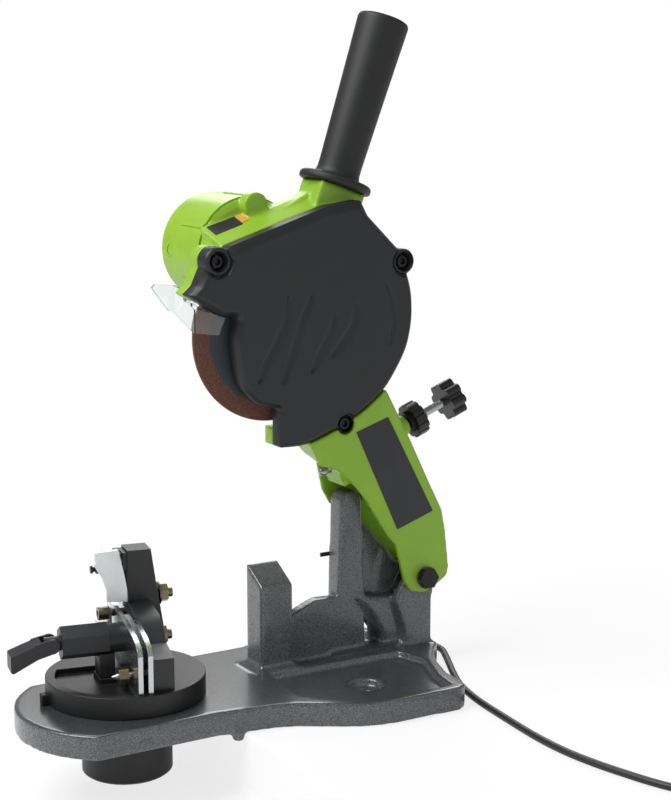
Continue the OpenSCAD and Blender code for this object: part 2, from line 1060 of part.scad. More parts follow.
// a shape across the shoulder, drawn in Y and height, from a to b along it
module on_shoulder(a, b) {
    placed()
        translate([88, 0, 381])
            rotate([0, -shoulder_turn, 0])
                translate([a, 0, 0])
                    rotate([90, 0, 90])
                        linear_extrude(height = b - a)
                            children();
}
module clipped_cheek() {
    difference() {
        polygon(near_cheek_pts);
        about(cover_mid, 1.008)
            cover_2d();
    }
}

// bare plates on the near cheek and on the shoulder
module name_plates() {
    slope = shoulder_rise / (24 - shoulder_y);
    color(black) {
        side_plate(-22.5, -22.04)
            polygon([[207, 219], [239, 229], [286, 141], [249, 129]]);
        for (f = [[5, 31.5, 7], [32, 39.2, 9]])
            on_shoulder(f[0], f[1])
                polygon([
                    for (p = [[f[2], 0.04], [20, 0.04], [20, 0.55],
                        [f[2], 0.55]])
                        [p[0], (p[0] - shoulder_y) * slope + p[1]]
                ]);
    }
}

// black cover over the operator's side of the wheel
module guard_cover() {
    color(black)
    difference() {
        union() {
            side_plate(-22.6, -8)
                cover_2d();
            side_plate(-24, -22.5)
                about(cover_mid, 0.985)
                    cover_2d();
        }
        side_plate(-8 - cover_d + cover_wall, -7)
            difference() {
                about(cover_mid, 0.965)
                    polygon(cover_pts);
                for (e = screw_ears)
                    translate([e[0], e[1]])
                        circle(r = e[2] - 0.5);
            }
        for (e = screw_ears) {
            across(e[0], e[1], -30)
                cylinder(h = 15, r = 6);
            across(e[0], e[1], -30)
                cylinder(h = 30, r = 2.6);
        }
        for (i = [0 : 3])
            side_plate(-25, -23.2)
                translate([160 + 17 * i, 268 + 6 * i])
                    rotate([0, 0, 62]) {
                        square([52, 3]);
                        translate([0, 1.5])
                            circle(r = 1.5);
                        translate([52, 1.5])
                            circle(r = 1.5);
                    }
    }
}

// three socket head screws of the cover
module cover_screws() {
    color(steel)
    for (e = screw_ears)
        across(e[0], e[1], -20)
            difference() {
                union() {
                    cylinder(h = 4.95, r = 5);
                    cylinder(h = 22, r = 2.5);
                }
                translate([0, 0, -1])
                    cylinder(h = 4, r = 2.6, $fn = 6);
            }
}

// clear eye shield of three flat faces
module eye_shield() {
    color([0.85, 0.90, 0.92, 0.45]) {
        side_plate(-12 - shield_t, -12)
            polygon([[60, 313], [60, 332.5], [64, 332], [88, 323.4],
                [82, 310]]);
        placed()
            translate([60, 0, 0])
                rotate([90, 0, 90])
                    linear_extrude(height = shield_t)
                        polygon([
                            [-12.1, 313], [-12.1, 332], [-7.5, 334],
                            [-7.5, 338.2], [6, 338.2], [9, 346],
                            [24.1, 348], [24.1, 326]
                        ]);
        side_plate(24, 24 + shield_t)
            polygon([[61.6, 348], [44, 349.5], [41, 347], [56, 327],
                [61.6, 326]]);
        side_plate(-7.5, -2.6)
            polygon([[60, 339.2], [82, 326.4], [82, 324.7],
                [60, 337.5]]);
        side_plate(-2.7, 6)
            polygon([[60, 339.2], [67, 335.1], [67, 333.4],
                [60, 337.5]]);
    }
}

// moulded grip with its flange
module handle_grip() {
    color(black)
    on_handle()
    difference() {
        union() {
            translate([0, 0, 0.05])
                cylinder(h = 5, r = flange_r);
            translate([0, 0, 5])
                cylinder(h = 2, r1 = flange_r, r2 = flange_r - 2);
            translate([0, 0, 7])
                cylinder(h = 4, r1 = 22, r2 = grip_r0);
            translate([0, 0, 7])
                cylinder(h = grip_len - 3, r1 = grip_r0, r2 = grip_r1);
            translate([0, 0, 4 + grip_len])
                cylinder(h = 3, r1 = grip_r1, r2 = grip_r1 - 3);
        }
        translate([0, 0, -1])
            cylinder(h = 103, r = 6.03);
    }
}

// steel stud that holds the grip
module handle_stud() {
    color(steel)
    on_handle()
        translate([0, 0, -22])
            cylinder(h = 122, r = 6);
}

// ----------------------------------------------------------- motor

// round housing of the motor with its front bearing seat
module motor_housing() {
    color(green)
    across(motor_x, motor_z, 24.3)
    difference() {
        union() {
            cylinder(h = motor_len, r = motor_r, $fn = 96);
            for (a = [30 : 60 : 359])
                rotate([0, 0, a])
                    translate([motor_r - 1.5, -2, 0])
                        cube([2.5, 4, 40]);
        }
        translate([0, 0, 8.2])
            cylinder(h = 90, r = motor_r - 3.5, $fn = 96);
        translate([0, 0, 0.8])
            cylinder(h = 20, r = 11.03);
        translate([0, 0, -1])
            cylinder(h = 20, r = 9);
        for (s = [-1, 1])
            translate([s * motor_r, 0, 51.2])
                rotate([0, 90, 0])
                    cylinder(h = 12, r = 5.4, center = true);
    }
}

// end cap with air slots and the rear bearing seat
module motor_cap() {
    color(green)
    across(motor_x, motor_z, 24.35 + motor_len)
    difference() {
        union() {
            cylinder(h = 10, r = motor_r - 1, $fn = 96);
            translate([0, 0, 10])
                cylinder(h = 4, r1 = motor_r - 1, r2 = motor_r - 3,
                    $fn = 96);
            translate([0, 0, 14])
                cylinder(h = 5, r1 = motor_r - 3, r2 = motor_r - 10,
                    $fn = 96);
        }
        translate([0, 0, -1])
            difference() {
                cylinder(h = 17, r = motor_r - 11);
                cylinder(h = 20, r = 15);
            }
        translate([0, 0, -1])
            cylinder(h = 11, r = 11.03);
        for (a = [0 : 60 : 359])
            rotate([0, 0, a])
                translate([18, -2, 5])
                    cube([14, 4, 20]);
    }
}

// laminated ring with its two field poles
module stator() {
    color(copper)
    across(motor_x, motor_z, 40)
    difference() {
        cylinder(h = 28, r = motor_r - 3.6, $fn = 96);
        translate([0, 0, -1])
            cylinder(h = 30, r = 24.8);
        for (s = [-1, 1])
            translate([-16, s * 31 - 5, -1])
                cube([32, 10, 30]);
    }
}

// two carbon brushes in their holders
module brushes() {
    color(brass)
    for (s = [0, 180])
        across(motor_x, motor_z, 75.5)
            rotate([0, 0, s]) {
                translate([11.4, -2.5, -3])
                    cube([12, 5, 6]);
                translate([16, 0, 0])
                    rotate([0, 90, 0])
                        cylinder(h = 30, r = 5);
            }
}

// two bearings of the wheel spindle and two of the motor shaft
module bearings() {
    color(steel) {
        for (y = [6.05, 20.6])
            across(wheel_x, wheel_z, y)
                bearing(y < 10 ? 8.95 : 12, 6.04, 6);
        for (y = [25.15, 83])
            across(motor_x, motor_z, y)
                bearing(11, 4.04, 7);
    }
}
module bearing(ro, ri, w) {
    difference() {
        cylinder(h = w, r = ro);
        translate([0, 0, -1])
            cylinder(h = w + 2, r = ri);
        for (z = [-1, w - 0.4])
            translate([0, 0, z])
                difference() {
                    cylinder(h = 1.4, r = ro - 1.2);
                    translate([0, 0, -1])
                        cylinder(h = 4, r = ri + 1);
                }
    }
}

// body of the rocker switch, set in the far wall of the belt box
module switch_body() {
    color(black)
    placed()
    difference() {
        union() {
            translate([228, 8, 308.5])
                cube([20, 16.1, 31]);
            translate([224, 24.05, 304.5])
                cube([28, 2.3, 39]);
        }
        translate([231, 13, 312])
            cube([14, 20, 24]);
        translate([225, 20, 324])
            rotate([0, 90, 0])
                cylinder(h = 26, r = 1.55, $fn = 24);
    }
}

// rocker, shown off
module switch_rocker() {
    color([0.75, 0.10, 0.08])
    placed()
    translate([0, 20, 324])
        rotate([7, 0, 0]) {
            translate([231.3, 0, 0])
                rotate([90, 0, 90])
                    linear_extrude(height = 13.4)
                        polygon([
                            [-3.5, -4], [-3.5, 4], [2, 9.6], [8.2, 10.4],
                            [6.6, 0], [8.2, -10.4], [2, -9.6]
                        ]);
            translate([228.5, 0, 0])
                rotate([0, 90, 0])
                    cylinder(h = 19, r = 1.5, $fn = 24);
        }
}

// rubber grommet where the cord leaves the box
module strain_relief() {
    color(black)
    placed()
        translate([226, 16.8, 0])
            difference() {
                union() {
                    translate([0, 0, 238])
                        cylinder(h = 28, r = 4.95);
                    translate([0, 0, 234])
                        cylinder(h = 4, r1 = 4, r2 = 5);
                }
                translate([0, 0, 230])
                    cylinder(h = 40, r = cord_r + 0.05);
            }
}

// cord inside the arm, from the switch to the fork
module arm_cord() {
    p = [
        [238, 14, 308.3], [238, 14, 301], [236, 15, 288],
        [229, 16.5, 275], [226, 16.8, 266], [226, 16.8, 250],
        [226, 16.8, 236], [229, 16.8, 224], [238, 16.8, 213],
        [245, 16.8, 206], [247, 16.8, 196.2]
    ];
    color(black)
    placed()
        tube(smooth(p, 3), cord_r, 8, [1, 0.05, 0]);
}

// belt from the motor to the wheel spindle
module drive_belt() {
    color(black)
    side_plate(13.3, 19.5)
        difference() {
            belt_2d(1.9);
            belt_2d(0.3);
        }
}

// ---------------------------------------------------- turning parts

// abrasive wheel
module grinding_wheel() {
    color([0.42, 0.24, 0.18])
    across(wheel_x, wheel_z, -wheel_t / 2)
        difference() {
            cylinder(h = wheel_t, r = wheel_d / 2, $fn = 128);
            translate([0, 0, -1])
                cylinder(h = wheel_t + 2, r = wheel_bore / 2);
        }
}

// flange behind the wheel with the spigot for its bore
module inner_flange() {
    color(steel)
    across(wheel_x, wheel_z, 0)
        difference() {
            union() {
                translate([0, 0, wheel_t / 2 + 0.02])
                    cylinder(h = 3.9, r = 20);
                translate([0, 0, -wheel_t / 2 + 0.2])
                    cylinder(h = wheel_t, r = wheel_bore / 2 - 0.03);
            }
            translate([0, 0, -9])
                cylinder(h = 20, r = 6.02);
        }
}

// flange in front of the wheel
module outer_flange() {
    color(steel)
    across(wheel_x, wheel_z, -wheel_t / 2 - 4)
        difference() {
            cylinder(h = 3.98, r = 20);
            translate([0, 0, -1])
                cylinder(h = 9, r = 6.02);
        }
}

// spindle of the wheel and of the driven pulley
module wheel_spindle() {
    color(steel)
    across(wheel_x, wheel_z, -15)
        cylinder(h = 42, r = 6);
}

// nut that clamps the flanges
module wheel_nut() {
    color(steel)
    across(wheel_x, wheel_z, -wheel_t / 2 - 11)
        difference() {
            hexagon(19, 6.98);
            translate([0, 0, -1])
                cylinder(h = 9, r = 6.02);
        }
}

module pulley(r, bore) {
    difference() {
        union() {
            cylinder(h = 7.2, r = r);
            cylinder(h = 0.4, r = r + 1.7);
            translate([0, 0, 6.8])
                cylinder(h = 0.4, r = r + 1.7);
        }
        translate([0, 0, -1])
            cylinder(h = 9, r = bore);
    }
}
// large pulley on the wheel spindle
module driven_pulley() {
    color(steel)
    across(wheel_x, wheel_z, 12.8)
        pulley(driven_r, 6.02);
}
// small pulley on the motor shaft
module motor_pulley() {
    color(steel)
    across(motor_x, motor_z, 12.8)
        pulley(drive_r, 4.02);
}

// wound core of the motor
module armature() {
    color(copper)
    across(motor_x, motor_z, 38)
        difference() {
            union() {
                cylinder(h = 32, r = 18);
                translate([0, 0, 4])
                    cylinder(h = 24, r = 24);
            }
            for (a = [0 : 30 : 359])
                rotate([0, 0, a])
                    translate([20, -1.5, 3])
                        cube([8, 3, 26]);
            translate([0, 0, -1])
                cylinder(h = 40, r = 4.02);
        }
}

// shaft of the motor
module motor_shaft() {
    color(steel)
    across(motor_x, motor_z, 12)
        cylinder(h = 79, r = 4);
}

// copper commutator
module commutator() {
    color(copper)
    across(motor_x, motor_z, 72)
        difference() {
            cylinder(h = 10.6, r = 11);
            translate([0, 0, -1])
                cylinder(h = 14, r = 4.02);
        }
}

// cooling fan between the front wall and the armature
module cooling_fan() {
    color(black)
    across(motor_x, motor_z, 33)
        difference() {
            union() {
                cylinder(h = 4.6, r = 8);
                cylinder(h = 1, r = 38);
                for (a = [0 : 45 : 359])
                    rotate([0, 0, a])
                        translate([10, -0.6, 0])
                            cube([27, 1.2, 4.6]);
            }
            translate([0, 0, -1])
                cylinder(h = 8, r = 4.02);
        }
}

// ------------------------------------------------------ depth stop

// threaded rod with a rounded tip that lands on the post
module depth_screw() {
    color(steel)
    on_depth() {
        translate([0, 0, depth_r])
            sphere(r = depth_r);
        translate([0, 0, depth_r])
            cylinder(h = depth_len - depth_r, r = depth_r);
    }
}

// eight-lobed knob on the rod
module star_knob() {
    color(black)
    on_depth()
    translate([0, 0, 136.8])
        difference() {
            union() {
                cylinder(h = 14, r = 14);
                for (a = [0 : 45 : 359])
                    rotate([0, 0, a])
                        translate([13, 0, 0])
                            cylinder(h = 14, r = 4.2, $fn = 32);
            }
            translate([0, 0, -1])
                cylinder(h = 13, r = depth_r + 0.04);
        }
}

// fluted knob that locks the rod
module depth_lock_knob() {
    color(black)
    on_depth()
    translate([0, 0, 95.5])
        difference() {
            union() {
                cylinder(h = 3, r = 10);
                translate([0, 0, 3])
                    cylinder(h = 11, r = 15.5);
            }
            for (a = [0 : 30 : 359])
                rotate([0, 0, a])
                    translate([16.2, 0, 2])
                        cylinder(h = 20, r = 1.9, $fn = 24);
            translate([0, 0, -1])
                cylinder(h = 20, r = depth_r + 0.05);
        }
}

// --------------------------------------------------------- drawing

base_casting();
pivot_bolt();
pivot_nut();
pivot_sleeve();
return_spring();
cable_tie();
supply_cord();
cord_coil();
plug();
turntable_disc();
centre_stud();
vise_casting();
fixed_rail();
rail_bolts();
socket_screw();
rail_bracket();
front_stud();
brass_nut();
pawl_block();
pawl_pin();
pawl_spring();
clamp_spindle();
movable_rail();
clamp_lever();
stop_pawl();
pawl_screw();
lock_knob();
knob_insert();
arm_housing();
name_plates();
guard_cover();
cover_screws();
eye_shield();
handle_grip();
handle_stud();
motor_housing();
motor_cap();
stator();
brushes();
bearings();
switch_body();
strain_relief();
arm_cord();
drive_belt();
grinding_wheel();
inner_flange();
outer_flange();
wheel_spindle();
wheel_nut();
driven_pulley();
armature();
motor_shaft();
commutator();
cooling_fan();
motor_pulley();
depth_screw();
star_knob();
depth_lock_knob();
switch_rocker();
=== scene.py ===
import json
import math

import bmesh
import bpy
import numpy as np
from mathutils import Matrix, Vector
from mathutils.geometry import delaunay_2d_cdt

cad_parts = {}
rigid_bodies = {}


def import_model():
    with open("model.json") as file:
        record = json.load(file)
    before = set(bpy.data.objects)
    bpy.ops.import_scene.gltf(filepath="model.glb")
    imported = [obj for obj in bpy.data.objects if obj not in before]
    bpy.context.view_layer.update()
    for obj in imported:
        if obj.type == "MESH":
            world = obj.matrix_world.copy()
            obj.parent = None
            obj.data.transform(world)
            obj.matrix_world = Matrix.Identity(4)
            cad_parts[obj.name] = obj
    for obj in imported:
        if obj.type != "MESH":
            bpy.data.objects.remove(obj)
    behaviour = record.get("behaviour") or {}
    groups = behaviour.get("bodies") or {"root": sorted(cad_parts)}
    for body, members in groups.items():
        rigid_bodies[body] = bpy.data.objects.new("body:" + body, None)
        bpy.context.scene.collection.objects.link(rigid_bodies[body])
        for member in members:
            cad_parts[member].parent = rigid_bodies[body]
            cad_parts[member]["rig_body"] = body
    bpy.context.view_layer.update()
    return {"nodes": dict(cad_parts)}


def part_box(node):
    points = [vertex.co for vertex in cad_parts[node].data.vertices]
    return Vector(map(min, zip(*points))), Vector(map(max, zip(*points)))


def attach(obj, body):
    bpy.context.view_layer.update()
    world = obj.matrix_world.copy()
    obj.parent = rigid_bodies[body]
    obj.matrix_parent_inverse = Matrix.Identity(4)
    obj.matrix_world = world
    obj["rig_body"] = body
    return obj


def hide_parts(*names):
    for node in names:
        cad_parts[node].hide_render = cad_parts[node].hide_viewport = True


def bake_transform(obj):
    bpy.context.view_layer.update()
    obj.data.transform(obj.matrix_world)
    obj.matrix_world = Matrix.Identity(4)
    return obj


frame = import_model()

# ------------------------------
# The studio: a bench top with its front edge just ahead of the two stop pegs,
# the lower ground in front of it that the nose and the lock knob hang over,
# and a camera where the photographer stood, left of the wheel and a bit above.


def at(x, y, z):
    """Millimetres from the turntable axis on the bench, as metres in the row frame."""
    return Vector(((x - 188.0) / 1000.0, (y + 11.0) / 1000.0, z / 1000.0))


def tint(hex_code):
    """sRGB hex to the linear colour that a shader socket takes."""
    parts = [int(hex_code[i:i + 2], 16) / 255.0 for i in (1, 3, 5)]
    return [c / 12.92 if c <= 0.04045 else ((c + 0.055) / 1.055) ** 2.4 for c in parts] + [1.0]


def wire(tree, kind, links=(), **settings):
    """Adds one node: settings go to its sockets or properties, links join other sockets to it."""
    node = tree.nodes.new(kind)
    for key, value in settings.items():
        if key.startswith("in_"):
            node.inputs[key[3:].replace("_", " ")].default_value = value
        else:
            setattr(node, key, value)
    for source, target in links:
        tree.links.new(source, node.inputs[target])
    return node


def flow(tree, kind, *links, **settings):
    """Adds one node and gives its first output."""
    return wire(tree, kind, links, **settings).outputs[0]


def feed(tree, socket, value):
    """Gives a socket a plain value, or links another node's output to it."""
    if isinstance(value, bpy.types.NodeSocket):
        tree.links.new(value, socket)
    else:
        socket.default_value = value


def worked(tree, operation, *values, kind="ShaderNodeMath", out=0):
    """The result of a Math node, or of a Vector Math node where kind says so."""
    node = wire(tree, kind, operation=operation)
    for socket, value in zip(node.inputs, values):
        feed(tree, socket, value)
    return node.outputs[out]


def ranged(tree, value, low, high, since=0.0, until=1.0, **settings):
    """The value, mapped from the range since to until to the range low to high."""
    return flow(tree, "ShaderNodeMapRange", (value, "Value"), in_From_Min=since, in_From_Max=until,
                in_To_Min=low, in_To_Max=high, **settings)


def own_place(tree):
    """The piece's own coordinates, in metres."""
    return wire(tree, "ShaderNodeTexCoord").outputs["Object"]


def finish_named(name, colour, rough, metal=0.0, **shader):
    """A material with its Principled shader set from plain values."""
    made = bpy.data.materials.new(name)
    made.use_nodes = True
    skin = made.node_tree.nodes["Principled BSDF"]
    skin.inputs["Base Color"].default_value = tint(colour)
    skin.inputs["Roughness"].default_value = rough
    skin.inputs["Metallic"].default_value = metal
    for key, value in shader.items():
        skin.inputs[key.replace("_", " ")].default_value = value
    return made, made.node_tree, skin


def linked(name, data):
    """A new object, linked to the scene."""
    made = bpy.data.objects.new(name, data)
    bpy.context.scene.collection.objects.link(made)
    return made


def aimed(made, ahead):
    """Turns a camera or a lamp to look along a direction."""
    made.rotation_mode = "QUATERNION"
    made.rotation_quaternion = ahead.to_track_quat("-Z", "Y")


VECTOR_MATH = "ShaderNodeVectorMath"

# the photographer's place, fitted to the object's edges
camera_swing, camera_lift = math.radians(-31.3), math.radians(10.25)
camera_place = at(-582.5, -1286.8, 516.3)
film_width, focal_length = 36.0, 81.0

camera_data = bpy.data.cameras.new("camera")
camera_data.sensor_width = film_width
camera_data.lens = focal_length
camera_data.clip_start, camera_data.clip_end = 0.05, 50.0
camera = linked("camera", camera_data)
camera.location = camera_place
aimed(camera, Vector((-math.sin(camera_swing) * math.cos(camera_lift),
                      math.cos(camera_swing) * math.cos(camera_lift), -math.sin(camera_lift))))
bpy.context.scene.camera = camera

# in metres: the bench's front edge, how far the surfaces run and how deep the ground lies
bench_edge, surface_reach, ground_drop = at(65.4, 0, 0).x, 9.0, 0.056
clear_of_part = 0.0002
profile = [(-surface_reach, -ground_drop), (bench_edge - 0.03, -ground_drop), (bench_edge - 0.004, -0.052),
           (bench_edge, -0.046), (bench_edge, -0.0024), (bench_edge + 0.0007, -0.0007),
           (bench_edge + 0.0024, 0.0), (surface_reach, 0.0)]
corners = [(x, y, z - clear_of_part) for x, z in profile for y in (-surface_reach, surface_reach)]
strips = [(2 * i, 2 * i + 2, 2 * i + 3, 2 * i + 1) for i in range(len(profile) - 1)]
ground_mesh = bpy.data.meshes.new("bench_and_ground")
ground_mesh.from_pydata(corners, [], strips)
linked("bench_and_ground", ground_mesh)

# the floor is white to the camera, and keeps a part of its shading near the object
pale, tree, skin = finish_named("pale matt studio surface", "#f4f4f4", 0.9)
path = wire(tree, "ShaderNodeLightPath").outputs
glow = wire(tree, "ShaderNodeEmission", in_Color=(1, 1, 1, 1), in_Strength=1.0)
blend = wire(tree, "ShaderNodeMixShader", [(skin.outputs[0], 1), (glow.outputs[0], 2)])
away = worked(tree, "LENGTH", own_place(tree), kind=VECTOR_MATH, out="Value")
fade = ranged(tree, away, 0.78, 1.0, since=0.25, until=0.75, interpolation_type="SMOOTHSTEP")
shiny = worked(tree, "MULTIPLY", path["Is Glossy Ray"], 0.45)
direct = worked(tree, "MAXIMUM", path["Is Camera Ray"], shiny)
either = worked(tree, "MAXIMUM", direct, path["Is Transmission Ray"])
feed(tree, blend.inputs[0], worked(tree, "MULTIPLY", either, fade))
feed(tree, tree.nodes["Material Output"].inputs["Surface"], blend.outputs[0])
ground_mesh.materials.append(pale)

world = bpy.data.worlds.new("soft white room")
bpy.context.scene.world = world
world.use_nodes = True
sky = world.node_tree
room = sky.nodes["Background"]
room.inputs["Color"].default_value = (1, 1, 1, 1)
path = wire(sky, "ShaderNodeLightPath").outputs
either = worked(sky, "MAXIMUM", path["Is Camera Ray"], path["Is Transmission Ray"])
feed(sky, room.inputs["Strength"], ranged(sky, either, 0.34, 1.0))

lit_point = Vector((0.0, 0.0, 0.25))
for label, place, size, power in (("key panel", (-1.3, 0.1, 1.9), 1.2, 44.0),
                                  ("rear panel", (0.9, 1.5, 1.5), 1.4, 22.0),
                                  ("front panel", (0.7, -1.9, 0.9), 1.2, 2.5)):
    lamp_data = bpy.data.lights.new(label, "AREA")
    lamp_data.size = size
    lamp_data.energy = power
    lamp = linked(label, lamp_data)
    lamp.location = place
    aimed(lamp, lit_point - Vector(place))
bpy.context.scene.view_settings.view_transform = "Standard"

# ------------------------------
# The lead: round PVC-sheathed flex, about 6 mm, that leaves the arm through a
# grommet, is strapped to the mast, runs over the bench and is wound up for
# storage with its moulded two-pin plug on the coil's last turn.


def eased(points, steps):
    """Catmull-Rom line through points, as the cord's route is drawn in the part."""
    line = []
    for i in range(len(points) - 1):
        a, b = points[max(i - 1, 0)], points[i]
        c, d = points[i + 1], points[min(i + 2, len(points) - 1)]
        for k in range(steps):
            t = k / steps
            line.append(0.5 * (2 * b + (c - a) * t + (2 * a - 5 * b + 4 * c - d) * t ** 2
                               + (3 * b - a - 3 * c + d) * t ** 3))
    return line + [points[-1]]


def stitched(shape, low, high):
    """Faces between two loops of vertices, either of which may be one point."""
    count = max(len(low), len(high))
    for k in range(count):
        m = (k + 1) % count
        face = [low[k % len(low)], low[m % len(low)], high[m % len(high)], high[k % len(high)]]
        face = list(dict.fromkeys(face))
        if len(face) > 2:
            shape.faces.new(face)


def sleeve_along(name, line, radius, sides, up, finish):
    """A closed tube mesh round a line of points, all in metres."""
    tube = bmesh.new()
    rings = []
    for i, p in enumerate(line):
        ahead = (line[min(i + 1, len(line) - 1)] - line[max(i - 1, 0)]).normalized()
        side = Vector(up).cross(ahead).normalized()
        over = ahead.cross(side)
        rings.append([tube.verts.new(p + radius * (math.cos(a) * side + math.sin(a) * over))
                      for a in (2 * math.pi * k / sides for k in range(sides))])
    for low, high in zip(rings, rings[1:]):
        stitched(tube, low, high)
    tube.faces.new(list(reversed(rings[0])))
    tube.faces.new(rings[-1])
    bmesh.ops.recalc_face_normals(tube, faces=tube.faces)
    return placed_piece(name, tube, finish)


def placed_piece(name, shape, finish, smooth=35.0):
    """Turns a bmesh that is already in place into an object at the origin with its finish."""
    mesh = bpy.data.meshes.new(name)
    shape.to_mesh(mesh)
    shape.free()
    mesh.shade_smooth()
    mesh.set_sharp_from_angle(angle=math.radians(smooth))
    mesh.materials.append(finish)
    return linked(name, mesh)


def settled(piece, body, slot, *nodes):
    """Says which body a piece rides on and which CAD nodes it replaces; the slot is not used."""
    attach(piece, body)
    if nodes:
        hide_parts(*nodes)
    return piece


def embossed(tree, skin, height, strength, depth):
    """Relief from a height, depth in metres."""
    relief = wire(tree, "ShaderNodeBump", [(height, "Height")], in_Distance=depth)
    feed(tree, relief.inputs["Strength"], strength)
    feed(tree, skin.inputs["Normal"], relief.outputs["Normal"])


def clouds(tree, scale, detail=3.0):
    """Noise over the piece's own coordinates, scale to the metre."""
    return flow(tree, "ShaderNodeTexNoise", (own_place(tree), "Vector"), in_Scale=scale, in_Detail=detail)


# PVC sheath: matt black, drawn through a die, with a faint even grain
sheath, tree, skin = finish_named("extruded PVC sheath", "#1d1d1f", 0.42)
drag = clouds(tree, 900.0)
feed(tree, skin.inputs["Roughness"], ranged(tree, drag, 0.34, 0.52))
embossed(tree, skin, drag, 0.12, 0.0002)

# the route from the grommet, as part.scad draws it, and the coil at its end
cord_radius, bench_rest = 0.003, 3
route = [(247, 16.8, 196), (247, 16.8, 186), (239, 16.8, 160), (225, 16.3, 134), (221.4, 15.3, 112),
         (221.8, 15.4, 98), (229, 17.5, 78), (237, 20, 56), (246, 24, 38), (256, 29, 27),
         (268, 37, 23.4), (280, 42, 16), (291, 41, 6)]
route += [(x, y, bench_rest) for x, y in (
    (304, 35), (313, 21), (314, 3), (306, -16), (296, -36), (284, -60), (272, -88), (263, -125), (257, -174),
    (253, -218), (253, -254), (257, -285), (263, -312), (269, -334), (276, -352), (286, -367), (300, -378),
    (318, -383), (340, -384), (356, -384), (369.9, -384))]
route = [at(*p) for p in route]
loops, per_loop, first_r, inward = 3, 24, 45.0, 6.5
coil_x, coil_y, layer_rise, change_over = 370, -429, 6.9, 12
halfway = loops * per_loop
winding = []
for i in range(1, 2 * halfway + 1):
    inner_steps = 2 * halfway - i if i > halfway else i
    r = first_r - inward * inner_steps / per_loop
    turn = math.radians(90 - 360 * i / per_loop)
    s = min(max((i - halfway) / change_over + 0.5, 0), 1)
    winding.append(at(coil_x + r * math.cos(turn), coil_y + r * math.sin(turn),
                      bench_rest + s * s * (3 - 2 * s) * layer_rise))
run_out = Vector((0.012, 0, 0))
winding += [winding[-1] + k * run_out for k in (1, 2)]
strapped, cord_sides = 4, 16
upper = sleeve_along("cord_over_the_mast", eased(route[:strapped + 1], 6), cord_radius, cord_sides,
                     (0.1, 1, 0.05), sheath)
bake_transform(upper)
lead_line = eased(route, 6)[strapped * 6:] + eased([route[-1]] + winding, 2)[1:]
lead = sleeve_along("lead", lead_line, cord_radius, cord_sides, (0.1, 0.05, 1), sheath)
settled(lead, "base", "cord_rubber", "supply_cord", "cord_coil")

# ------------------------------
# The plug: one overmoulding of soft black PVC with a waisted grip and four ribs
# for the fingers, and two nickel-plated brass pins of 4.8 mm.


def toned(tree, value, dark, light, start=0.0, stop=1.0):
    """A ramp between two linear colours, from start to stop of the value."""
    ramp = wire(tree, "ShaderNodeValToRGB", [(value, "Fac")])
    first, last = ramp.color_ramp.elements
    first.position, first.color = start, dark
    last.position, last.color = stop, light
    return ramp.outputs["Color"]


def grained(name, colour, rough, grain, depth, spread=0.10, metal=0.0, **shader):
    """A finish whose tone, roughness and relief follow a grain of a real size in millimetres."""
    made, tree, skin = finish_named(name, colour, rough, metal, **shader)
    fine, broad = clouds(tree, 1000.0 / grain), clouds(tree, 38.0)
    plain = tint(colour)[:3]
    dark = [c * (1 - spread) for c in plain] + [1.0]
    light = [min(1.0, c * (1 + spread)) for c in plain] + [1.0]
    feed(tree, skin.inputs["Base Color"], toned(tree, broad, dark, light, 0.35, 0.68))
    feed(tree, skin.inputs["Roughness"], ranged(tree, fine, max(0.02, rough - 0.08), min(1.0, rough + 0.08)))
    embossed(tree, skin, fine, 0.5, depth / 1000.0)
    return made


def blunted(outline, radius, steps):
    """The same open line of 2-D points with its corners rounded."""
    result = [outline[0]]
    for before, corner, after in zip(outline, outline[1:], outline[2:]):
        a, b, c = Vector(before), Vector(corner), Vector(after)
        reach = min(radius, 0.45 * (a - b).length, 0.45 * (c - b).length)
        start, end = b + (a - b).normalized() * reach, b + (c - b).normalized() * reach
        for k in range(steps + 1):
            t = k / steps
            result.append(tuple(start * (1 - t) ** 2 + b * 2 * t * (1 - t) + end * t ** 2))
    return result + [outline[-1]]


def turn_of(degrees, axis):
    """A turn about one axis, as a matrix."""
    return Matrix.Rotation(math.radians(degrees), 4, axis)


def lathed(shape, outline, stand, sides, ring=False):
    """Adds (radius, height) pairs in millimetres to a bmesh, spun round the Z of their stand."""
    loops = []
    for r, h in outline:
        steps = sides if r > 1e-6 else 1
        angles = (2 * math.pi * k / sides for k in range(steps))
        loops.append([shape.verts.new(stand @ (Vector((r * math.cos(a), r * math.sin(a), h)) / 1000))
                      for a in angles])
    for low, high in zip(loops, loops[1:]):
        stitched(shape, low, high)
    if ring:
        stitched(shape, loops[-1], loops[0])
    for end in (loops[0], loops[-1]):
        if len(end) > 1 and not ring:
            shape.faces.new(end)
    bmesh.ops.recalc_face_normals(shape, faces=shape.faces)


def turned(name, outline, stand, finish, sides=72, ring=False, smooth=35.0):
    """A lathe-turned piece, closed on itself where it is a ring."""
    shape = bmesh.new()
    lathed(shape, outline, stand, sides, ring)
    return placed_piece(name, shape, finish, smooth)


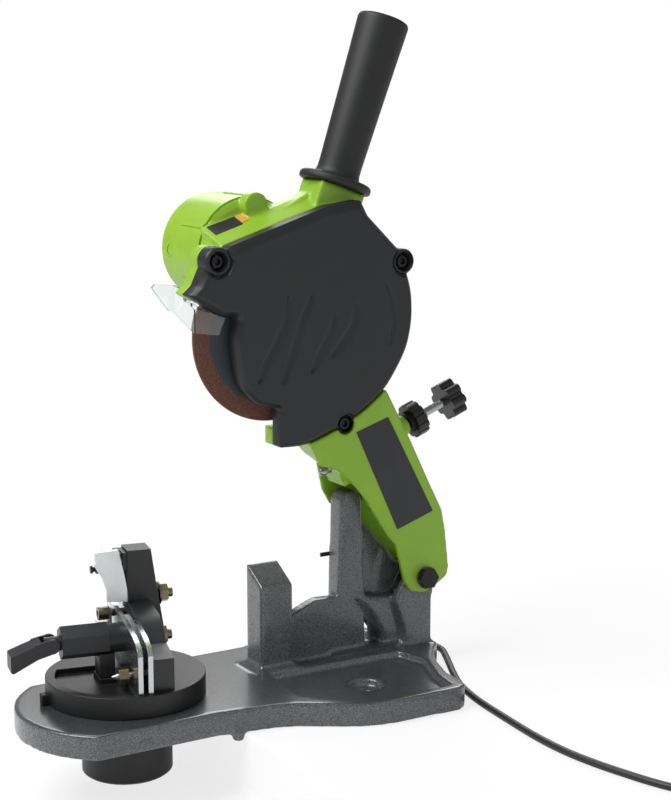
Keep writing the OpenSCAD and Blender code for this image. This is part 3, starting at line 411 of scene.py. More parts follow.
pvc = grained("moulded soft PVC", "#1f1f21", 0.45, 0.9, 0.06)
nickel = grained("nickel plated brass", "#b5b0a4", 0.22, 0.4, 0.01, metal=1.0)
socket_axis = Matrix.Translation(winding[-1]) @ turn_of(90, "Y")
grip_line = [(0, 0), (4.4, 0), (4.9, 0.8)]
for k in range(4):
    z, r = 2.4 + 2.8 * k, 5.3 + 0.56 * k
    grip_line += [(r, z), (r - 0.7, z + 0.6), (r - 0.7, z + 1.2), (r + 0.3, z + 1.8)]
grip_line += [(7.9, 14), (9.4, 16), (9.4, 39), (8.0, 40.5), (8.0, 41.5), (9.7, 47.2), (9.7, 48), (9.2, 48.4),
              (9.4, 52.8), (8.6, 53), (0, 53)]
plug_body = turned("plug_body", blunted(grip_line, 0.5, 2), socket_axis, pvc, 48)
pins, pin_apart = bmesh.new(), 0.010
for side in (-0.5, 0.5):
    lathed(pins, [(2.35, 52.6), (2.35, 70.6), (1.5, 72.0)],
           socket_axis @ Matrix.Translation((0, side * pin_apart, 0)), 24)
plug_pins = placed_piece("plug_pins", pins, nickel)
for piece, slot in ((plug_body, "cord_rubber"), (plug_pins, "brass")):
    settled(piece, "base", slot, "plug")

# ------------------------------
# The base: one aluminium casting, sand cast, then dipped in grey hammered
# enamel. The veins of the enamel lie just under two millimetres apart.


def merged_copy(node):
    """A CAD node's mesh as a bmesh, its doubled vertices joined."""
    shape = bmesh.new()
    shape.from_mesh(frame["nodes"][node].data)
    bmesh.ops.remove_doubles(shape, verts=shape.verts, dist=2e-6)
    return shape


def rounded(node, width, finish, slot, angle=28.0, segments=2):
    """A merged copy of a CAD node with its edges rounded by width, in millimetres."""
    shape = merged_copy(node)
    bmesh.ops.dissolve_limit(shape, angle_limit=math.radians(0.6), verts=shape.verts, edges=shape.edges)
    piece = placed_piece("look_" + node, shape, finish, 32.0)
    edge = piece.modifiers.new("rounded edges", "BEVEL")
    edge.width = width / 1000.0
    edge.segments = segments
    edge.limit_method = "ANGLE"
    edge.angle_limit = math.radians(angle)
    edge.harden_normals = True
    edge.use_clamp_overlap = True
    return settled(piece, frame["nodes"][node]["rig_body"], slot, node)


def frozen(made):
    """An object's final mesh as a bmesh, and its finish. The object itself goes."""
    bpy.context.view_layer.update()
    mesh = bpy.data.meshes.new_from_object(made.evaluated_get(bpy.context.evaluated_depsgraph_get()))
    bpy.data.objects.remove(made)
    shape, finish = bmesh.new(), mesh.materials[0]
    shape.from_mesh(mesh)
    bpy.data.meshes.remove(mesh)
    return shape, finish


def cast_soft(node, voxel, passes, finish, slot):
    """A copy of a CAD node with every corner, inner and outer, eased as a casting's are."""
    blank = placed_piece("blank_" + node, merged_copy(node), finish)
    grid = blank.modifiers.new("grid", "REMESH")
    grid.mode = "VOXEL"
    grid.voxel_size = voxel / 1000.0
    ease = blank.modifiers.new("ease", "SMOOTH")
    ease.factor, ease.iterations = 0.5, passes
    shape, finish = frozen(blank)
    low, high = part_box(node)
    for v in shape.verts:
        v.co = [min(max(v.co[k], low[k]), high[k]) for k in range(3)]
    piece = placed_piece("look_" + node, shape, finish, 60.0)
    return settled(piece, frame["nodes"][node]["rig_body"], slot, node)


enamel, tree, skin = finish_named("hammered enamel on cast aluminium", "#6a6e71", 0.3, Coat_Weight=0.5,
                                   Coat_Roughness=0.12)
own, cells_per_metre = wire(tree, "ShaderNodeTexCoord").outputs, 560.0
swirl = wire(tree, "ShaderNodeTexNoise", [(own["Object"], "Vector")], in_Scale=190.0, in_Detail=3.0)
pull = flow(tree, VECTOR_MATH, (swirl.outputs["Color"], 0), operation="SCALE", in_Scale=0.0018)
bent = worked(tree, "ADD", own["Object"], pull, kind=VECTOR_MATH)
veins = flow(tree, "ShaderNodeTexVoronoi", (bent, "Vector"), feature="DISTANCE_TO_EDGE",
             in_Scale=cells_per_metre)
cells = wire(tree, "ShaderNodeTexVoronoi", [(bent, "Vector")], in_Scale=cells_per_metre).outputs["Color"]
tone = toned(tree, veins, tint("#34363a"), tint("#696c6f"), stop=0.2)
varied = ranged(tree, flow(tree, "ShaderNodeSeparateColor", (cells, 0)), 0.80, 1.10)
# on level faces the colour is darkened as painted shade, and the veins are faint there
upward = wire(tree, "ShaderNodeSeparateXYZ", [(own["Normal"], 0)]).outputs["Z"]
painted_top_shade = ranged(tree, upward, 1.0, 0.46, since=0.5, until=0.95)
cells_with_painted_top_shade = worked(tree, "MULTIPLY", varied, painted_top_shade)
# the base colour carries the painted shade of the level faces
feed(tree, skin.inputs["Base Color"], worked(tree, "MULTIPLY", tone, cells_with_painted_top_shade, kind=VECTOR_MATH))
embossed(tree, skin, veins, worked(tree, "POWER", painted_top_shade, 2.5), 0.00028)
cast_soft("base_casting", 1.8, 9, enamel, "cast_grey")

# ------------------------------
# The pivot hardware: an M10 hexagon bolt and locknut of plated steel, a steel
# sleeve pressed into both ears, and a torsion spring wound from 2 mm wire.


def stood(x, y, z, degrees, axis):
    """A stand at a point in millimetres, turned about one axis of the row frame."""
    return Matrix.Translation(at(x, y, z)) @ turn_of(degrees, axis)


def across(x, z, y):
    """The stand of a piece whose axis runs along +Y through a point of the side view."""
    return stood(x, y, z, -90, "X")


def group_of(name, inputs):
    """A Geometry Nodes group with named inputs: the tree, what it is given and its end."""
    tree = bpy.data.node_groups.new(name, "GeometryNodeTree")
    for label, kind in inputs + [("Finish", "Material")]:
        tree.interface.new_socket(label, in_out="INPUT", socket_type="NodeSocket" + kind)
    tree.interface.new_socket("Geometry", in_out="OUTPUT", socket_type="NodeSocketGeometry")
    return tree, wire(tree, "NodeGroupInput").outputs, wire(tree, "NodeGroupOutput")


def closed(tree, given, out, geometry):
    """Ends a group: real geometry with the group's finish."""
    real = flow(tree, "GeometryNodeRealizeInstances", (geometry, "Geometry"))
    skin = flow(tree, "GeometryNodeSetMaterial", (real, "Geometry"), (given["Finish"], "Material"))
    feed(tree, out.inputs["Geometry"], skin)
    return tree


def wound_spring_tree():
    """Geometry Nodes: a helix of wire, with named inputs for its sizes."""
    tree, given, out = group_of("wound spring", [(label, "Float") for label in (
        "Coil Radius", "Wire Radius", "Turns", "Length", "Start Angle")])
    steps_per_turn = 32.0
    count = worked(tree, "MULTIPLY", given["Turns"], steps_per_turn)
    line = flow(tree, "GeometryNodeMeshLine", (count, "Count"))
    index = flow(tree, "GeometryNodeInputIndex")
    around = worked(tree, "MULTIPLY_ADD", index, 2 * math.pi / steps_per_turn, given["Start Angle"])
    x, y = (worked(tree, "MULTIPLY", worked(tree, trade, around), given["Coil Radius"])
            for trade in ("COSINE", "SINE"))
    rise = worked(tree, "MULTIPLY", worked(tree, "DIVIDE", index, count), given["Length"])
    spot = flow(tree, "ShaderNodeCombineXYZ", (x, 0), (y, 1), (rise, 2))
    moved = flow(tree, "GeometryNodeSetPosition", (line, "Geometry"), (spot, "Position"))
    curve = flow(tree, "GeometryNodeMeshToCurve", (moved, "Mesh"))
    section = flow(tree, "GeometryNodeCurvePrimitiveCircle", (given["Wire Radius"], "Radius"),
                   in_Resolution=12)
    swept = flow(tree, "GeometryNodeCurveToMesh", (curve, "Curve"), (section, "Profile Curve"),
                 in_Fill_Caps=True)
    return closed(tree, given, out, flow(tree, "GeometryNodeSetShadeSmooth", (swept, "Geometry")))


def grown(name, tree, stand, values, start=None):
    """Runs a Geometry Nodes tree once and keeps its plain mesh, moved to its stand."""
    seed = start or linked("seed", bpy.data.meshes.new("seed"))
    made = seed.modifiers.new("tree", "NODES")
    made.node_group = tree
    for socket in tree.interface.items_tree:
        if socket.in_out == "INPUT" and socket.name in values:
            made[socket.identifier] = values[socket.name]
    shape, finish = frozen(seed)
    shape.transform(stand)
    bmesh.ops.remove_doubles(shape, verts=shape.verts, dist=1e-6)
    bmesh.ops.recalc_face_normals(shape, faces=shape.faces)
    return placed_piece(name, shape, finish)


# electro-plated zinc: pale grey, slightly milky, with a fine grain
zinc = grained("bright zinc plated steel", "#a9abad", 0.30, 0.5, 0.03, metal=1.0)
# blackened steel: a thin oxide that stays a metal, oily and dark
oxide = grained("black oxide on steel", "#2b2b2d", 0.36, 0.45, 0.05, metal=0.75)
# spring wire: drawn, oil hardened, dark grey with a long highlight
drawn = grained("oil hardened spring wire", "#5d5e61", 0.32, 0.3, 0.02, metal=1.0)
spring_tree = wound_spring_tree()
rounded("pivot_bolt", 0.55, oxide, "black_metal")
rounded("pivot_nut", 0.35, zinc, "zinc_steel")
rounded("pivot_sleeve", 0.3, zinc, "zinc_steel")
pivot_x, pivot_z, spring_y, spring_r, spring_turns, spring_long = 279, 82, -7.1, 10.6, 4, 9.6
spring_start = 149
spring = grown("return_spring_coils", spring_tree, across(pivot_x, pivot_z, spring_y),
               {"Coil Radius": spring_r / 1000, "Wire Radius": 0.001, "Turns": float(spring_turns),
                "Length": spring_long / 1000, "Start Angle": math.radians(-spring_start), "Finish": drawn})
last = math.radians(spring_start + 360 * spring_turns)
tail = at(pivot_x + spring_r * math.cos(last), spring_y + spring_long, pivot_z + spring_r * math.sin(last))
leg = sleeve_along("return_spring_leg", [tail + k * 0.003 * Vector((-0.515, 0, -0.857)) for k in range(8)],
                   0.001, 12, (0, 1, 0), drawn)
for piece in (spring, leg):
    settled(piece, "base", "zinc_steel", "return_spring")

# ------------------------------
# The strap: a moulded nylon cable tie, black, pulled tight over the cord through
# a slot in the mast's web, with its square head in front and its tail behind.

nylon = grained("moulded black nylon", "#242426", 0.38, 0.8, 0.04)
rounded("cable_tie", 0.5, nylon, "black_plastic")

# ------------------------------
# The turntable: a black moulded disc with a sunk floor and a pointer lug; below
# it the ribbed black lock knob on its brass insert and stud.

# glass-filled nylon: black, fine spark-eroded grain, half matt
filled = grained("moulded glass filled nylon", "#121315", 0.46, 0.7, 0.05)
brass_cut = grained("turned brass", "#a79b7d", 0.28, 0.35, 0.02, metal=1.0)
rounded("turntable_disc", 1.3, filled, "black_plastic", segments=3)
rounded("centre_stud", 0.8, zinc, "zinc_steel")


def ring_tree():
    """Geometry Nodes: one bar with eased edges, set Count times round an axis."""
    tree, given, out = group_of("ring of bars", [
        ("Count", "Int"), ("Radius", "Float"), ("Bar Size", "Vector"), ("Height", "Float")])
    points = flow(tree, "GeometryNodePoints", (given["Count"], "Count"))
    share = worked(tree, "DIVIDE", flow(tree, "GeometryNodeInputIndex"), given["Count"])
    angle = worked(tree, "MULTIPLY", share, 2 * math.pi)
    turn = flow(tree, "ShaderNodeCombineXYZ", (angle, "Z"))
    arm = flow(tree, "ShaderNodeCombineXYZ", (given["Radius"], "X"), (given["Height"], "Z"))
    spun = flow(tree, "ShaderNodeVectorRotate", (arm, "Vector"), (angle, "Angle"), rotation_type="Z_AXIS")
    set_out = flow(tree, "GeometryNodeSetPosition", (points, "Geometry"), (spun, "Position"))
    bar = flow(tree, "GeometryNodeMeshCube", (given["Bar Size"], "Size"), in_Vertices_X=3, in_Vertices_Y=4,
               in_Vertices_Z=4)
    # towards its edges the bar gets thinner, so that its face is crowned
    place = flow(tree, "GeometryNodeInputPosition")
    half = worked(tree, "DIVIDE", place, given["Bar Size"], kind=VECTOR_MATH)
    split = wire(tree, "ShaderNodeSeparateXYZ", [(half, 0)]).outputs
    thin = [worked(tree, "MULTIPLY_ADD", worked(tree, "MULTIPLY", split[axis], split[axis]), -1.6, 1.0)
            for axis in ("Y", "Z")]
    shrink = flow(tree, "ShaderNodeCombineXYZ", (worked(tree, "MULTIPLY", *thin), "X"), in_Y=1.0, in_Z=1.0)
    crowned = worked(tree, "MULTIPLY", place, shrink, kind=VECTOR_MATH)
    eased_bar = flow(tree, "GeometryNodeSetPosition", (bar, "Geometry"), (crowned, "Position"))
    placed = flow(tree, "GeometryNodeInstanceOnPoints", (set_out, "Points"), (eased_bar, "Instance"),
                  (turn, "Rotation"))
    return closed(tree, given, out, placed)


bars = ring_tree()
rounded("lock_knob", 1.2, filled, "black_plastic", segments=3)
ribs = grown("lock_knob_ribs", bars, Matrix.Translation(at(0, 0, 0)),
             {"Count": 60, "Radius": 0.0362, "Bar Size": (0.0015, 0.0018, 0.026), "Height": -0.0262,
              "Finish": filled})
settled(ribs, "knob", "black_plastic")
rounded("knob_insert", 0.4, brass_cut, "brass")

# ------------------------------
# The chain vise: a black-painted casting with a tall plate, two ground steel
# rails for the chain, and the bolts, screw and bright strip that hold them.

# degrees that the vise is turned in the photograph
shown_swing = 12
painted = grained("satin black paint on cast iron", "#212225", 0.42, 1.1, 0.12)
# rails: surface ground, the marks run along the rail and scatter the light in lines
ground_steel, tree, skin = finish_named("surface ground steel", "#c4c6c8", 0.22, 1.0)
stretch = flow(tree, "ShaderNodeMapping", (own_place(tree), "Vector"),
               in_Rotation=(0, 0, math.radians(shown_swing)), in_Scale=(900.0, 30.0, 2600.0))
lines = flow(tree, "ShaderNodeTexNoise", (stretch, "Vector"), in_Scale=1.0, in_Detail=4.0)
feed(tree, skin.inputs["Roughness"], ranged(tree, lines, 0.14, 0.36))
embossed(tree, skin, lines, 0.2, 0.00005)
# die-cast zinc pawl, left bare: silver white with a soft grain
bare_cast = grained("bare zinc die casting", "#dfe1e2", 0.34, 0.9, 0.10, metal=0.55)
# yellow passivated zinc: olive to straw, changing over a few millimetres
passive = grained("yellow passivated zinc", "#7b7460", 0.33, 0.5, 0.03, spread=0.28, metal=1.0)

for node, width, steps, finish, slot in (
        ("vise_casting", 1.4, 3, painted, "black_metal"),
        ("fixed_rail", 0.5, 2, ground_steel, "chrome_steel"),
        ("movable_rail", 0.5, 2, ground_steel, "chrome_steel"),
        ("rail_bolts", 0.45, 2, passive, "yellow_zinc"), ("socket_screw", 0.5, 2, passive, "yellow_zinc"),
        ("rail_bracket", 0.35, 2, ground_steel, "chrome_steel"), ("front_stud", 0.35, 2, zinc, "zinc_steel"),
        ("brass_nut", 0.5, 2, brass_cut, "brass"), ("pawl_block", 1.0, 2, painted, "black_metal"),
        ("pawl_pin", 0.4, 2, zinc, "zinc_steel"), ("stop_pawl", 1.0, 3, bare_cast, "chrome_steel"),
        ("pawl_screw", 0.3, 2, oxide, "black_metal"), ("clamp_spindle", 0.9, 3, painted, "black_metal"),
        ("clamp_lever", 0.9, 3, painted, "black_metal")):
    rounded(node, width, finish, slot, segments=steps)
disc_stand = stood(0, 0, 38, -shown_swing, "Z")
pawl_coil = grown("pawl_spring_coils", spring_tree,
                  disc_stand @ Matrix.Translation((-0.0045, 0.032, 0.085)) @ turn_of(90, "Y"),
                  {"Coil Radius": 0.0042, "Wire Radius": 0.00055, "Turns": 3.0, "Length": 0.00405,
                   "Start Angle": 0.0, "Finish": drawn})
settled(pawl_coil, frame["nodes"]["pawl_spring"]["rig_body"], "zinc_steel", "pawl_spring")

# ------------------------------
# The arm: one injection moulding of glass filled nylon, dyed lime green, with
# fork, rim and belt box. Its corners are soft and its surface has a fine grain.

dyed = grained("lime green glass filled nylon", "#8ab626", 0.40, 0.8, 0.05, spread=0.04,
               Coat_Weight=0.12, Coat_Roughness=0.25)
cast_soft("arm_housing", 1.3, 6, dyed, "green_paint")

# Name plates, left bare: thin satin black aluminium sheet, glued on the cheek
# and on the shoulder, where a plain amber one lies beside the black one.
plate_black = grained("satin black anodised aluminium sheet", "#2a2b2e", 0.34, 0.4, 0.02, metal=0.2)
tree = plate_black.node_tree
skin = tree.nodes["Principled BSDF"]
place = own_place(tree)
along = worked(tree, "DOT_PRODUCT", place, (0.954, 0.0, 0.30), kind=VECTOR_MATH, out="Value")
high = wire(tree, "ShaderNodeSeparateXYZ", [(place, 0)]).outputs["Z"]
amber_share = worked(tree, "MULTIPLY", worked(tree, "GREATER_THAN", along, 0.05065),
                     worked(tree, "GREATER_THAN", high, 0.33))
field = wire(tree, "ShaderNodeMix", [(amber_share, 0), (skin.inputs["Base Color"].links[0].from_socket, 6)],
             data_type="RGBA")
field.inputs[7].default_value = tint("#e8a04a")
feed(tree, skin.inputs["Base Color"], field.outputs[2])
rounded("name_plates", 0.18, plate_black, "bare_plate")

# ------------------------------
# The depth stop: an M8 rod of zinc-plated steel with rolled threads and a round
# tip, an eight-lobed moulded knob pressed on it, and a fluted locking knob.

rod_lean = 21.3
depth_stand = stood(183.4, 0, 181.8, 90 - rod_lean, "Y")
rod_r, root_r, tip_r, pitch = 3.72, 3.16, 3.75, 1.25
rod_line = [(0, 0)] + [(tip_r * math.sin(a), tip_r - tip_r * math.cos(a))
                       for a in (math.radians(15 * k) for k in range(1, 7))]
thread_start, thread_turns = 8.0, 101
rod_line.append((rod_r, thread_start))
for k in range(thread_turns):
    z = thread_start + k * pitch
    rod_line += [(root_r, z + 0.45), (root_r, z + 0.6), (rod_r, z + 1.1), (rod_r, z + pitch)]
rod_line += [(3.7, 147.6), (3.3, 148), (0, 148)]
rod = turned("depth_rod_threads", rod_line, depth_stand, zinc, 28, smooth=50)
settled(rod, frame["nodes"]["depth_screw"]["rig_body"], "zinc_steel", "depth_screw")
knob_black = grained("moulded phenolic", "#0f0f11", 0.38, 0.9, 0.04)
rounded("star_knob", 1.6, knob_black, "black_plastic", segments=3, angle=40)
rounded("depth_lock_knob", 0.9, knob_black, "black_plastic", segments=3, angle=40)

# ------------------------------
# The guard cover: charcoal ABS, injection moulded with a spark-eroded grain. It
# has a wide chamfer round its front, three screw ears, flame-like flutes and a
# crescent, and is open at the left, where the wheel meets the chain.


def through(points, steps):
    """A smooth 2-D line through points, ends kept."""
    return [tuple(p)[:2] for p in eased([Vector((x, z, 0)) for x, z in points], steps)]


def spaced(loop, step):
    """The same closed loop with points about step apart."""
    result = []
    for a, b in zip(loop, loop[1:] + loop[:1]):
        gap = math.dist(a, b)
        count = max(1, round(gap / step))
        result += [(a[0] + (b[0] - a[0]) * k / count, a[1] + (b[1] - a[1]) * k / count) for k in range(count)]
    return result


def depth_inside(points, loop):
    """How far inside a closed loop each point is, negative outside it."""
    p = np.asarray(points, float)
    a = np.asarray(loop, float)
    b = np.roll(a, -1, axis=0)
    nearest = np.full(len(p), 1e9)
    inside = np.zeros(len(p), bool)
    for s, e in zip(a, b):
        edge = e - s
        t = np.clip(((p - s) @ edge) / max(edge @ edge, 1e-12), 0, 1)
        nearest = np.minimum(nearest, np.hypot(*(p - s - t[:, None] * edge).T))
        if s[1] != e[1]:
            crosses = (s[1] > p[:, 1]) != (e[1] > p[:, 1])
            inside ^= crosses & (p[:, 0] < s[0] + (p[:, 1] - s[1]) * edge[0] / edge[1])
    return np.where(inside, nearest, -nearest)


def relief_shell(name, outer, holes, front, back, extra, step, finish, contours):
    """A moulding between two height fields over an outline of the side view, in millimetres."""
    rim = spaced(outer, step)
    arms = np.asarray(rim)
    side = np.roll(arms, -1, axis=0) - np.roll(arms, 1, axis=0)
    side = np.stack([-side[:, 1], side[:, 0]], axis=1) / np.hypot(*side.T)[:, None]
    inner = []
    for gap in contours:
        inset = arms + side * gap
        inner.append(inset[depth_inside(inset, rim) > gap - 0.04])
    xs = np.arange(arms[:, 0].min(), arms[:, 0].max(), step * 1.25)
    zs = np.arange(arms[:, 1].min(), arms[:, 1].max(), step * 1.25)
    grid = np.array([(x + (0.5 * step if k % 2 else 0), z) for k, z in enumerate(zs) for x in xs])
    grid = grid[depth_inside(grid, rim) > contours[-1] + 0.4 * step]
    inner.append(grid)
    extra = np.asarray(extra, float)
    inner.append(extra[depth_inside(extra, rim) > 0.3])
    inner = np.concatenate(inner)
    for loop in holes:
        inner = inner[depth_inside(inner, loop) < -0.12]
    loops = [rim] + [list(h) for h in holes]
    points, edges = [], []
    for loop in loops:
        start = len(points)
        points += [Vector(p) for p in loop]
        edges += [(start + k, start + (k + 1) % len(loop)) for k in range(len(loop))]
    points += [Vector(p) for p in inner]
    flat, _, faces, *_ = delaunay_2d_cdt(points, edges, [], 0, 1e-4)
    flat = np.array([tuple(v) for v in flat])
    middle = np.array([flat[list(f)].mean(0) for f in faces])
    keep = depth_inside(middle, rim) > 0
    for loop in holes:
        keep &= depth_inside(middle, loop) < 0
    depth = np.maximum(depth_inside(flat, rim), 0)
    near_y = front(flat[:, 0], flat[:, 1], depth)
    far_y = back(flat[:, 0], flat[:, 1], depth)
    shape = bmesh.new()
    near = [shape.verts.new(at(x, y, z)) for (x, z), y in zip(flat, near_y)]
    far = [shape.verts.new(at(x, y, z)) for (x, z), y in zip(flat, far_y)]
    border = {}
    for face, used in zip(faces, keep):
        if used:
            shape.faces.new([near[k] for k in face])
            shape.faces.new([far[k] for k in reversed(face)])
            for k in range(3):
                pair = (face[k], face[(k + 1) % 3])
                if pair[::-1] in border:
                    del border[pair[::-1]]
                else:
                    border[pair] = True
    for a, b in border:
        shape.faces.new((near[b], near[a], far[a], far[b]))
    bmesh.ops.delete(shape, geom=[v for v in shape.verts if not v.link_faces], context="VERTS")
    bmesh.ops.recalc_face_normals(shape, faces=shape.faces)
    return placed_piece(name, shape, finish, 40)


def ring_of(centre, radius, count):
    """Points evenly round a circle."""
    angles = (2 * math.pi * k / count for k in range(count))
    return [(centre[0] + radius * math.cos(a), centre[1] + radius * math.sin(a)) for a in angles]


# the outline in the side view: lower and rear edge, straight top edges, mouth; then its ears
edge_run = through([(134, 213), (157, 213), (178, 219.5), (195, 226), (218, 239), (232, 249.5), (242, 260),
                    (256, 282), (262, 300), (264, 320), (261, 343), (249, 372)], 8)
top_edges = [(219, 401), (212, 414), (180, 410), (91, 382), (66, 364), (60, 351), (52, 344)]
mouth_run = through([(83, 326), (96, 324), (93, 308), (94, 294), (98, 271), (106, 259), (116, 251),
                     (134, 246)], 6)
cover_line = spaced(edge_run + top_edges + mouth_run, 1.0)
ears = ((78, 370, 12), (254, 361, 11), (197, 227, 8))
for ex, ez, er in ears:
    flags = [math.dist(p, (ex, ez)) < er for p in cover_line]
    first = next(k for k in range(len(flags)) if flags[k] and not flags[k - 1])
    cover_line, flags = cover_line[first:] + cover_line[:first], flags[first:] + flags[:first]
    count = flags.index(False)
    a0 = math.atan2(cover_line[0][1] - ez, cover_line[0][0] - ex)
    a1 = math.atan2(cover_line[count - 1][1] - ez, cover_line[count - 1][0] - ex)
    sweep = (a1 - a0) % (2 * math.pi)
    steps = max(4, int(sweep * er))
    cover_line = [(ex + er * math.cos(a0 + sweep * k / steps), ez + er * math.sin(a0 + sweep * k / steps))
                  for k in range(steps + 1)] + cover_line[count:]
for _ in range(3):
    before, after = cover_line[-1:] + cover_line[:-1], cover_line[1:] + cover_line[:1]
    cover_line = [((a[0] + 2 * b[0] + c[0]) / 4, (a[1] + 2 * b[1] + c[1]) / 4)
                  for a, b, c in zip(before, cover_line, after)]

flutes = [through(line, 8) for line in (
    [(141, 338), (138, 320), (128, 301), (118, 285), (113, 270)],
    [(164, 340), (153, 320), (147, 302), (141, 287), (135, 266)],
    [(185, 322), (178, 304), (169, 289), (162, 274)],
    [(206, 330), (202, 312), (192, 299), (182, 286)])]
crescent = through([(235, 345), (240.5, 330), (242.5, 311), (239, 291)], 8)


def groove(x, z, line, width, lean):
    """How deep a tapered groove along a line is, 0 to 1, steeper on one side by lean."""
    p = np.stack([x, z], axis=1)
    a = np.asarray(line, float)
    best = np.full(len(p), 1e9)
    signed = np.zeros(len(p))
    along = np.zeros(len(p))
    for k in range(len(a) - 1):
        edge = a[k + 1] - a[k]
        t = np.clip(((p - a[k]) @ edge) / (edge @ edge), 0, 1)
        off = p - a[k] - t[:, None] * edge
        gap = np.hypot(*off.T)
        nearer = gap < best
        best = np.where(nearer, gap, best)
        signed = np.where(nearer, np.sign(edge[0] * off[:, 1] - edge[1] * off[:, 0]) * gap, signed)
        along = np.where(nearer, (k + t) / (len(a) - 1), along)
    local = width * np.sqrt(np.clip(4 * along * (1 - along), 0, 1)) + 1e-6
    reach = np.where(signed > 0, local, local * lean)
    t = np.clip(1 - best / reach, 0, 1)
    return t * t * (3 - 2 * t)


# the cover's front, inner and back faces, screw seats and ears, along the wheel's axis
front_y, inner_y, back_y, seat_y, ear_y = -24, -21.4, -8.0, -15.0, -22.8
chamfer_wide, chamfer_wider, chamfer_deep = 4.0, 3.2, 4.6


def cover_front(x, z, depth):
    """The front face: a chamfer that is wider along the upper left edge, flutes and ears."""
    upper_left = np.clip((z - 0.31 * x - 330) / 12, 0, 1) * np.clip((225 - x) / 12, 0, 1)
    t = np.clip(depth / (chamfer_wide + chamfer_wider * upper_left), 0, 1)
    y = front_y + chamfer_deep * (1 - t) ** 1.25
    for line in flutes:
        y = y + 1.5 * groove(x, z, line, 9.0, 0.35)
    y = y + 1.1 * groove(x, z, crescent, 5.0, 0.3)
    for ex, ez, er in ears:
        gap = np.hypot(x - ex, z - ez)
        lip = np.clip((er - gap) / 2.2, 0, 1)
        flat_top = ear_y + 2.6 * (1 - lip) ** 2
        blend = np.clip((er + 1.5 - gap) / 1.5, 0, 1)
        y = y + (flat_top - y) * blend
        well = min(8.4, er - 1.2)
        sunk = -22.2 + 5.4 * np.clip((well - gap) / (well - 6.2), 0, 1)
        y = np.where(gap < well, np.maximum(y, sunk), y)
        y = np.where(gap < 6.05, seat_y, y)
    return np.maximum(y, front_y)


def cover_back(x, z, depth):
    """The wall reaches back all round and at the ears, and the inside is hollow."""
    y = np.where(depth < 2.5, back_y, inner_y)
    for ex, ez, er in ears:
        y = np.where(np.hypot(x - ex, z - ez) < er - 0.4, back_y, y)
    return y


rings = []
for ex, ez, er in ears:
    for radius in (5.95, 6.15, 7.2, 8.4, 9.6, er - 0.5, er - 0.3, er + 0.8):
        rings += ring_of((ex, ez), radius, 48)
eroded = grained("moulded charcoal ABS", "#17191c", 0.46, 0.55, 0.05, spread=0.06)
screw_holes = [ring_of((ex, ez), 2.6, 24) for ex, ez, _ in ears]
contours = (0.35, 0.9, 1.7, 2.4, 2.6, 3.4, 4.4, 5.6, 7.0)
cover = relief_shell("guard_cover_moulding", cover_line, screw_holes, cover_front, cover_back, rings, 1.15,
                     eroded, contours)
settled(cover, "arm", "black_plastic", "guard_cover")


def set_of_pieces_tree():
    """Geometry Nodes: one piece set at every given point, all turned the same way."""
    tree, given, out = group_of("set of like pieces", [("Geometry", "Geometry"), ("Piece", "Object")])
    source = wire(tree, "GeometryNodeObjectInfo", [(given["Piece"], "Object")]).outputs["Geometry"]
    dots = flow(tree, "GeometryNodeMeshToPoints", (given["Geometry"], "Mesh"))
    placed = flow(tree, "GeometryNodeInstanceOnPoints", (dots, "Points"), (source, "Instance"))
    return closed(tree, given, out, placed)


def socket_screw_mesh(head_r, head_h, key, shank_r, shank_l, finish):
    """One socket head cap screw: face at zero, shank along +Z, 36 flats, hexagon socket."""
    shape = bmesh.new()
    before = None
    rows = [(0, head_h * 0.55, 0), (key * 0.5, head_h * 0.55, 1), (key * 0.5, 0.3, 1), (key * 0.56, 0, 1),
            (head_r * 0.86, 0, 0), (head_r * 0.97, 0.22, 0), (head_r, 0.8, 0), (head_r, head_h, 0),
            (shank_r, head_h, 0), (shank_r, head_h + shank_l - 0.5, 0), (shank_r - 0.5, head_h + shank_l, 0),
            (0, head_h + shank_l, 0)]
    for r, h, six in rows:
        loop = []
        for k in range(36 if r else 1):
            a = math.radians(10 * k)
            reach = r / math.cos((a + math.pi / 6) % (math.pi / 3) - math.pi / 6) if six else r
            loop.append(shape.verts.new((reach * math.cos(a) / 1000, reach * math.sin(a) / 1000, h / 1000)))
        if before:
            stitched(shape, before, loop)
        before = loop
    bmesh.ops.recalc_face_normals(shape, faces=shape.faces)
    return placed_piece("one_screw", shape, finish, 30)


def set_of(name, tree, piece, spots, stand, finish):
    """Sets one small piece at each spot, given in millimetres in the stand's own frame."""
    seeds = bpy.data.meshes.new("spots")
    seeds.from_pydata([Vector(s) / 1000 for s in spots], [], [])
    made = grown(name, tree, stand, {"Piece": piece, "Finish": finish}, linked("spots", seeds))
    bpy.data.objects.remove(piece)
    return made


pieces_tree = set_of_pieces_tree()
cap = socket_screw_mesh(5.0, 4.95, 5.0, 2.5, 17.0, oxide)
screws = set_of("cover_cap_screws", pieces_tree, cap, [(ex, -ez, -20) for ex, ez, _ in ears],
                across(0, 0, 0), oxide)
settled(screws, "arm", "black_metal", "cover_screws")

# ------------------------------
# The eye shield: polycarbonate sheet of 1.6 mm, cut and bent, clear with a
# faint cool tint and a slightly uneven gloss, on the mouth of the guard.

clear, tree, skin = finish_named("clear polycarbonate sheet", "#f3f8f7", 0.04, Transmission_Weight=1.0,
                                 IOR=1.585)
feed(tree, skin.inputs["Roughness"], ranged(tree, clouds(tree, 60.0, 4.0), 0.02, 0.14))
rounded("eye_shield", 0.35, clear, "clear_plastic")

# ------------------------------
# The grinding wheel: brown fused alumina in a resin bond, 145 x 3.2 mm, with a
# bare paper blotter on each side, between two turned steel flanges and a nut.

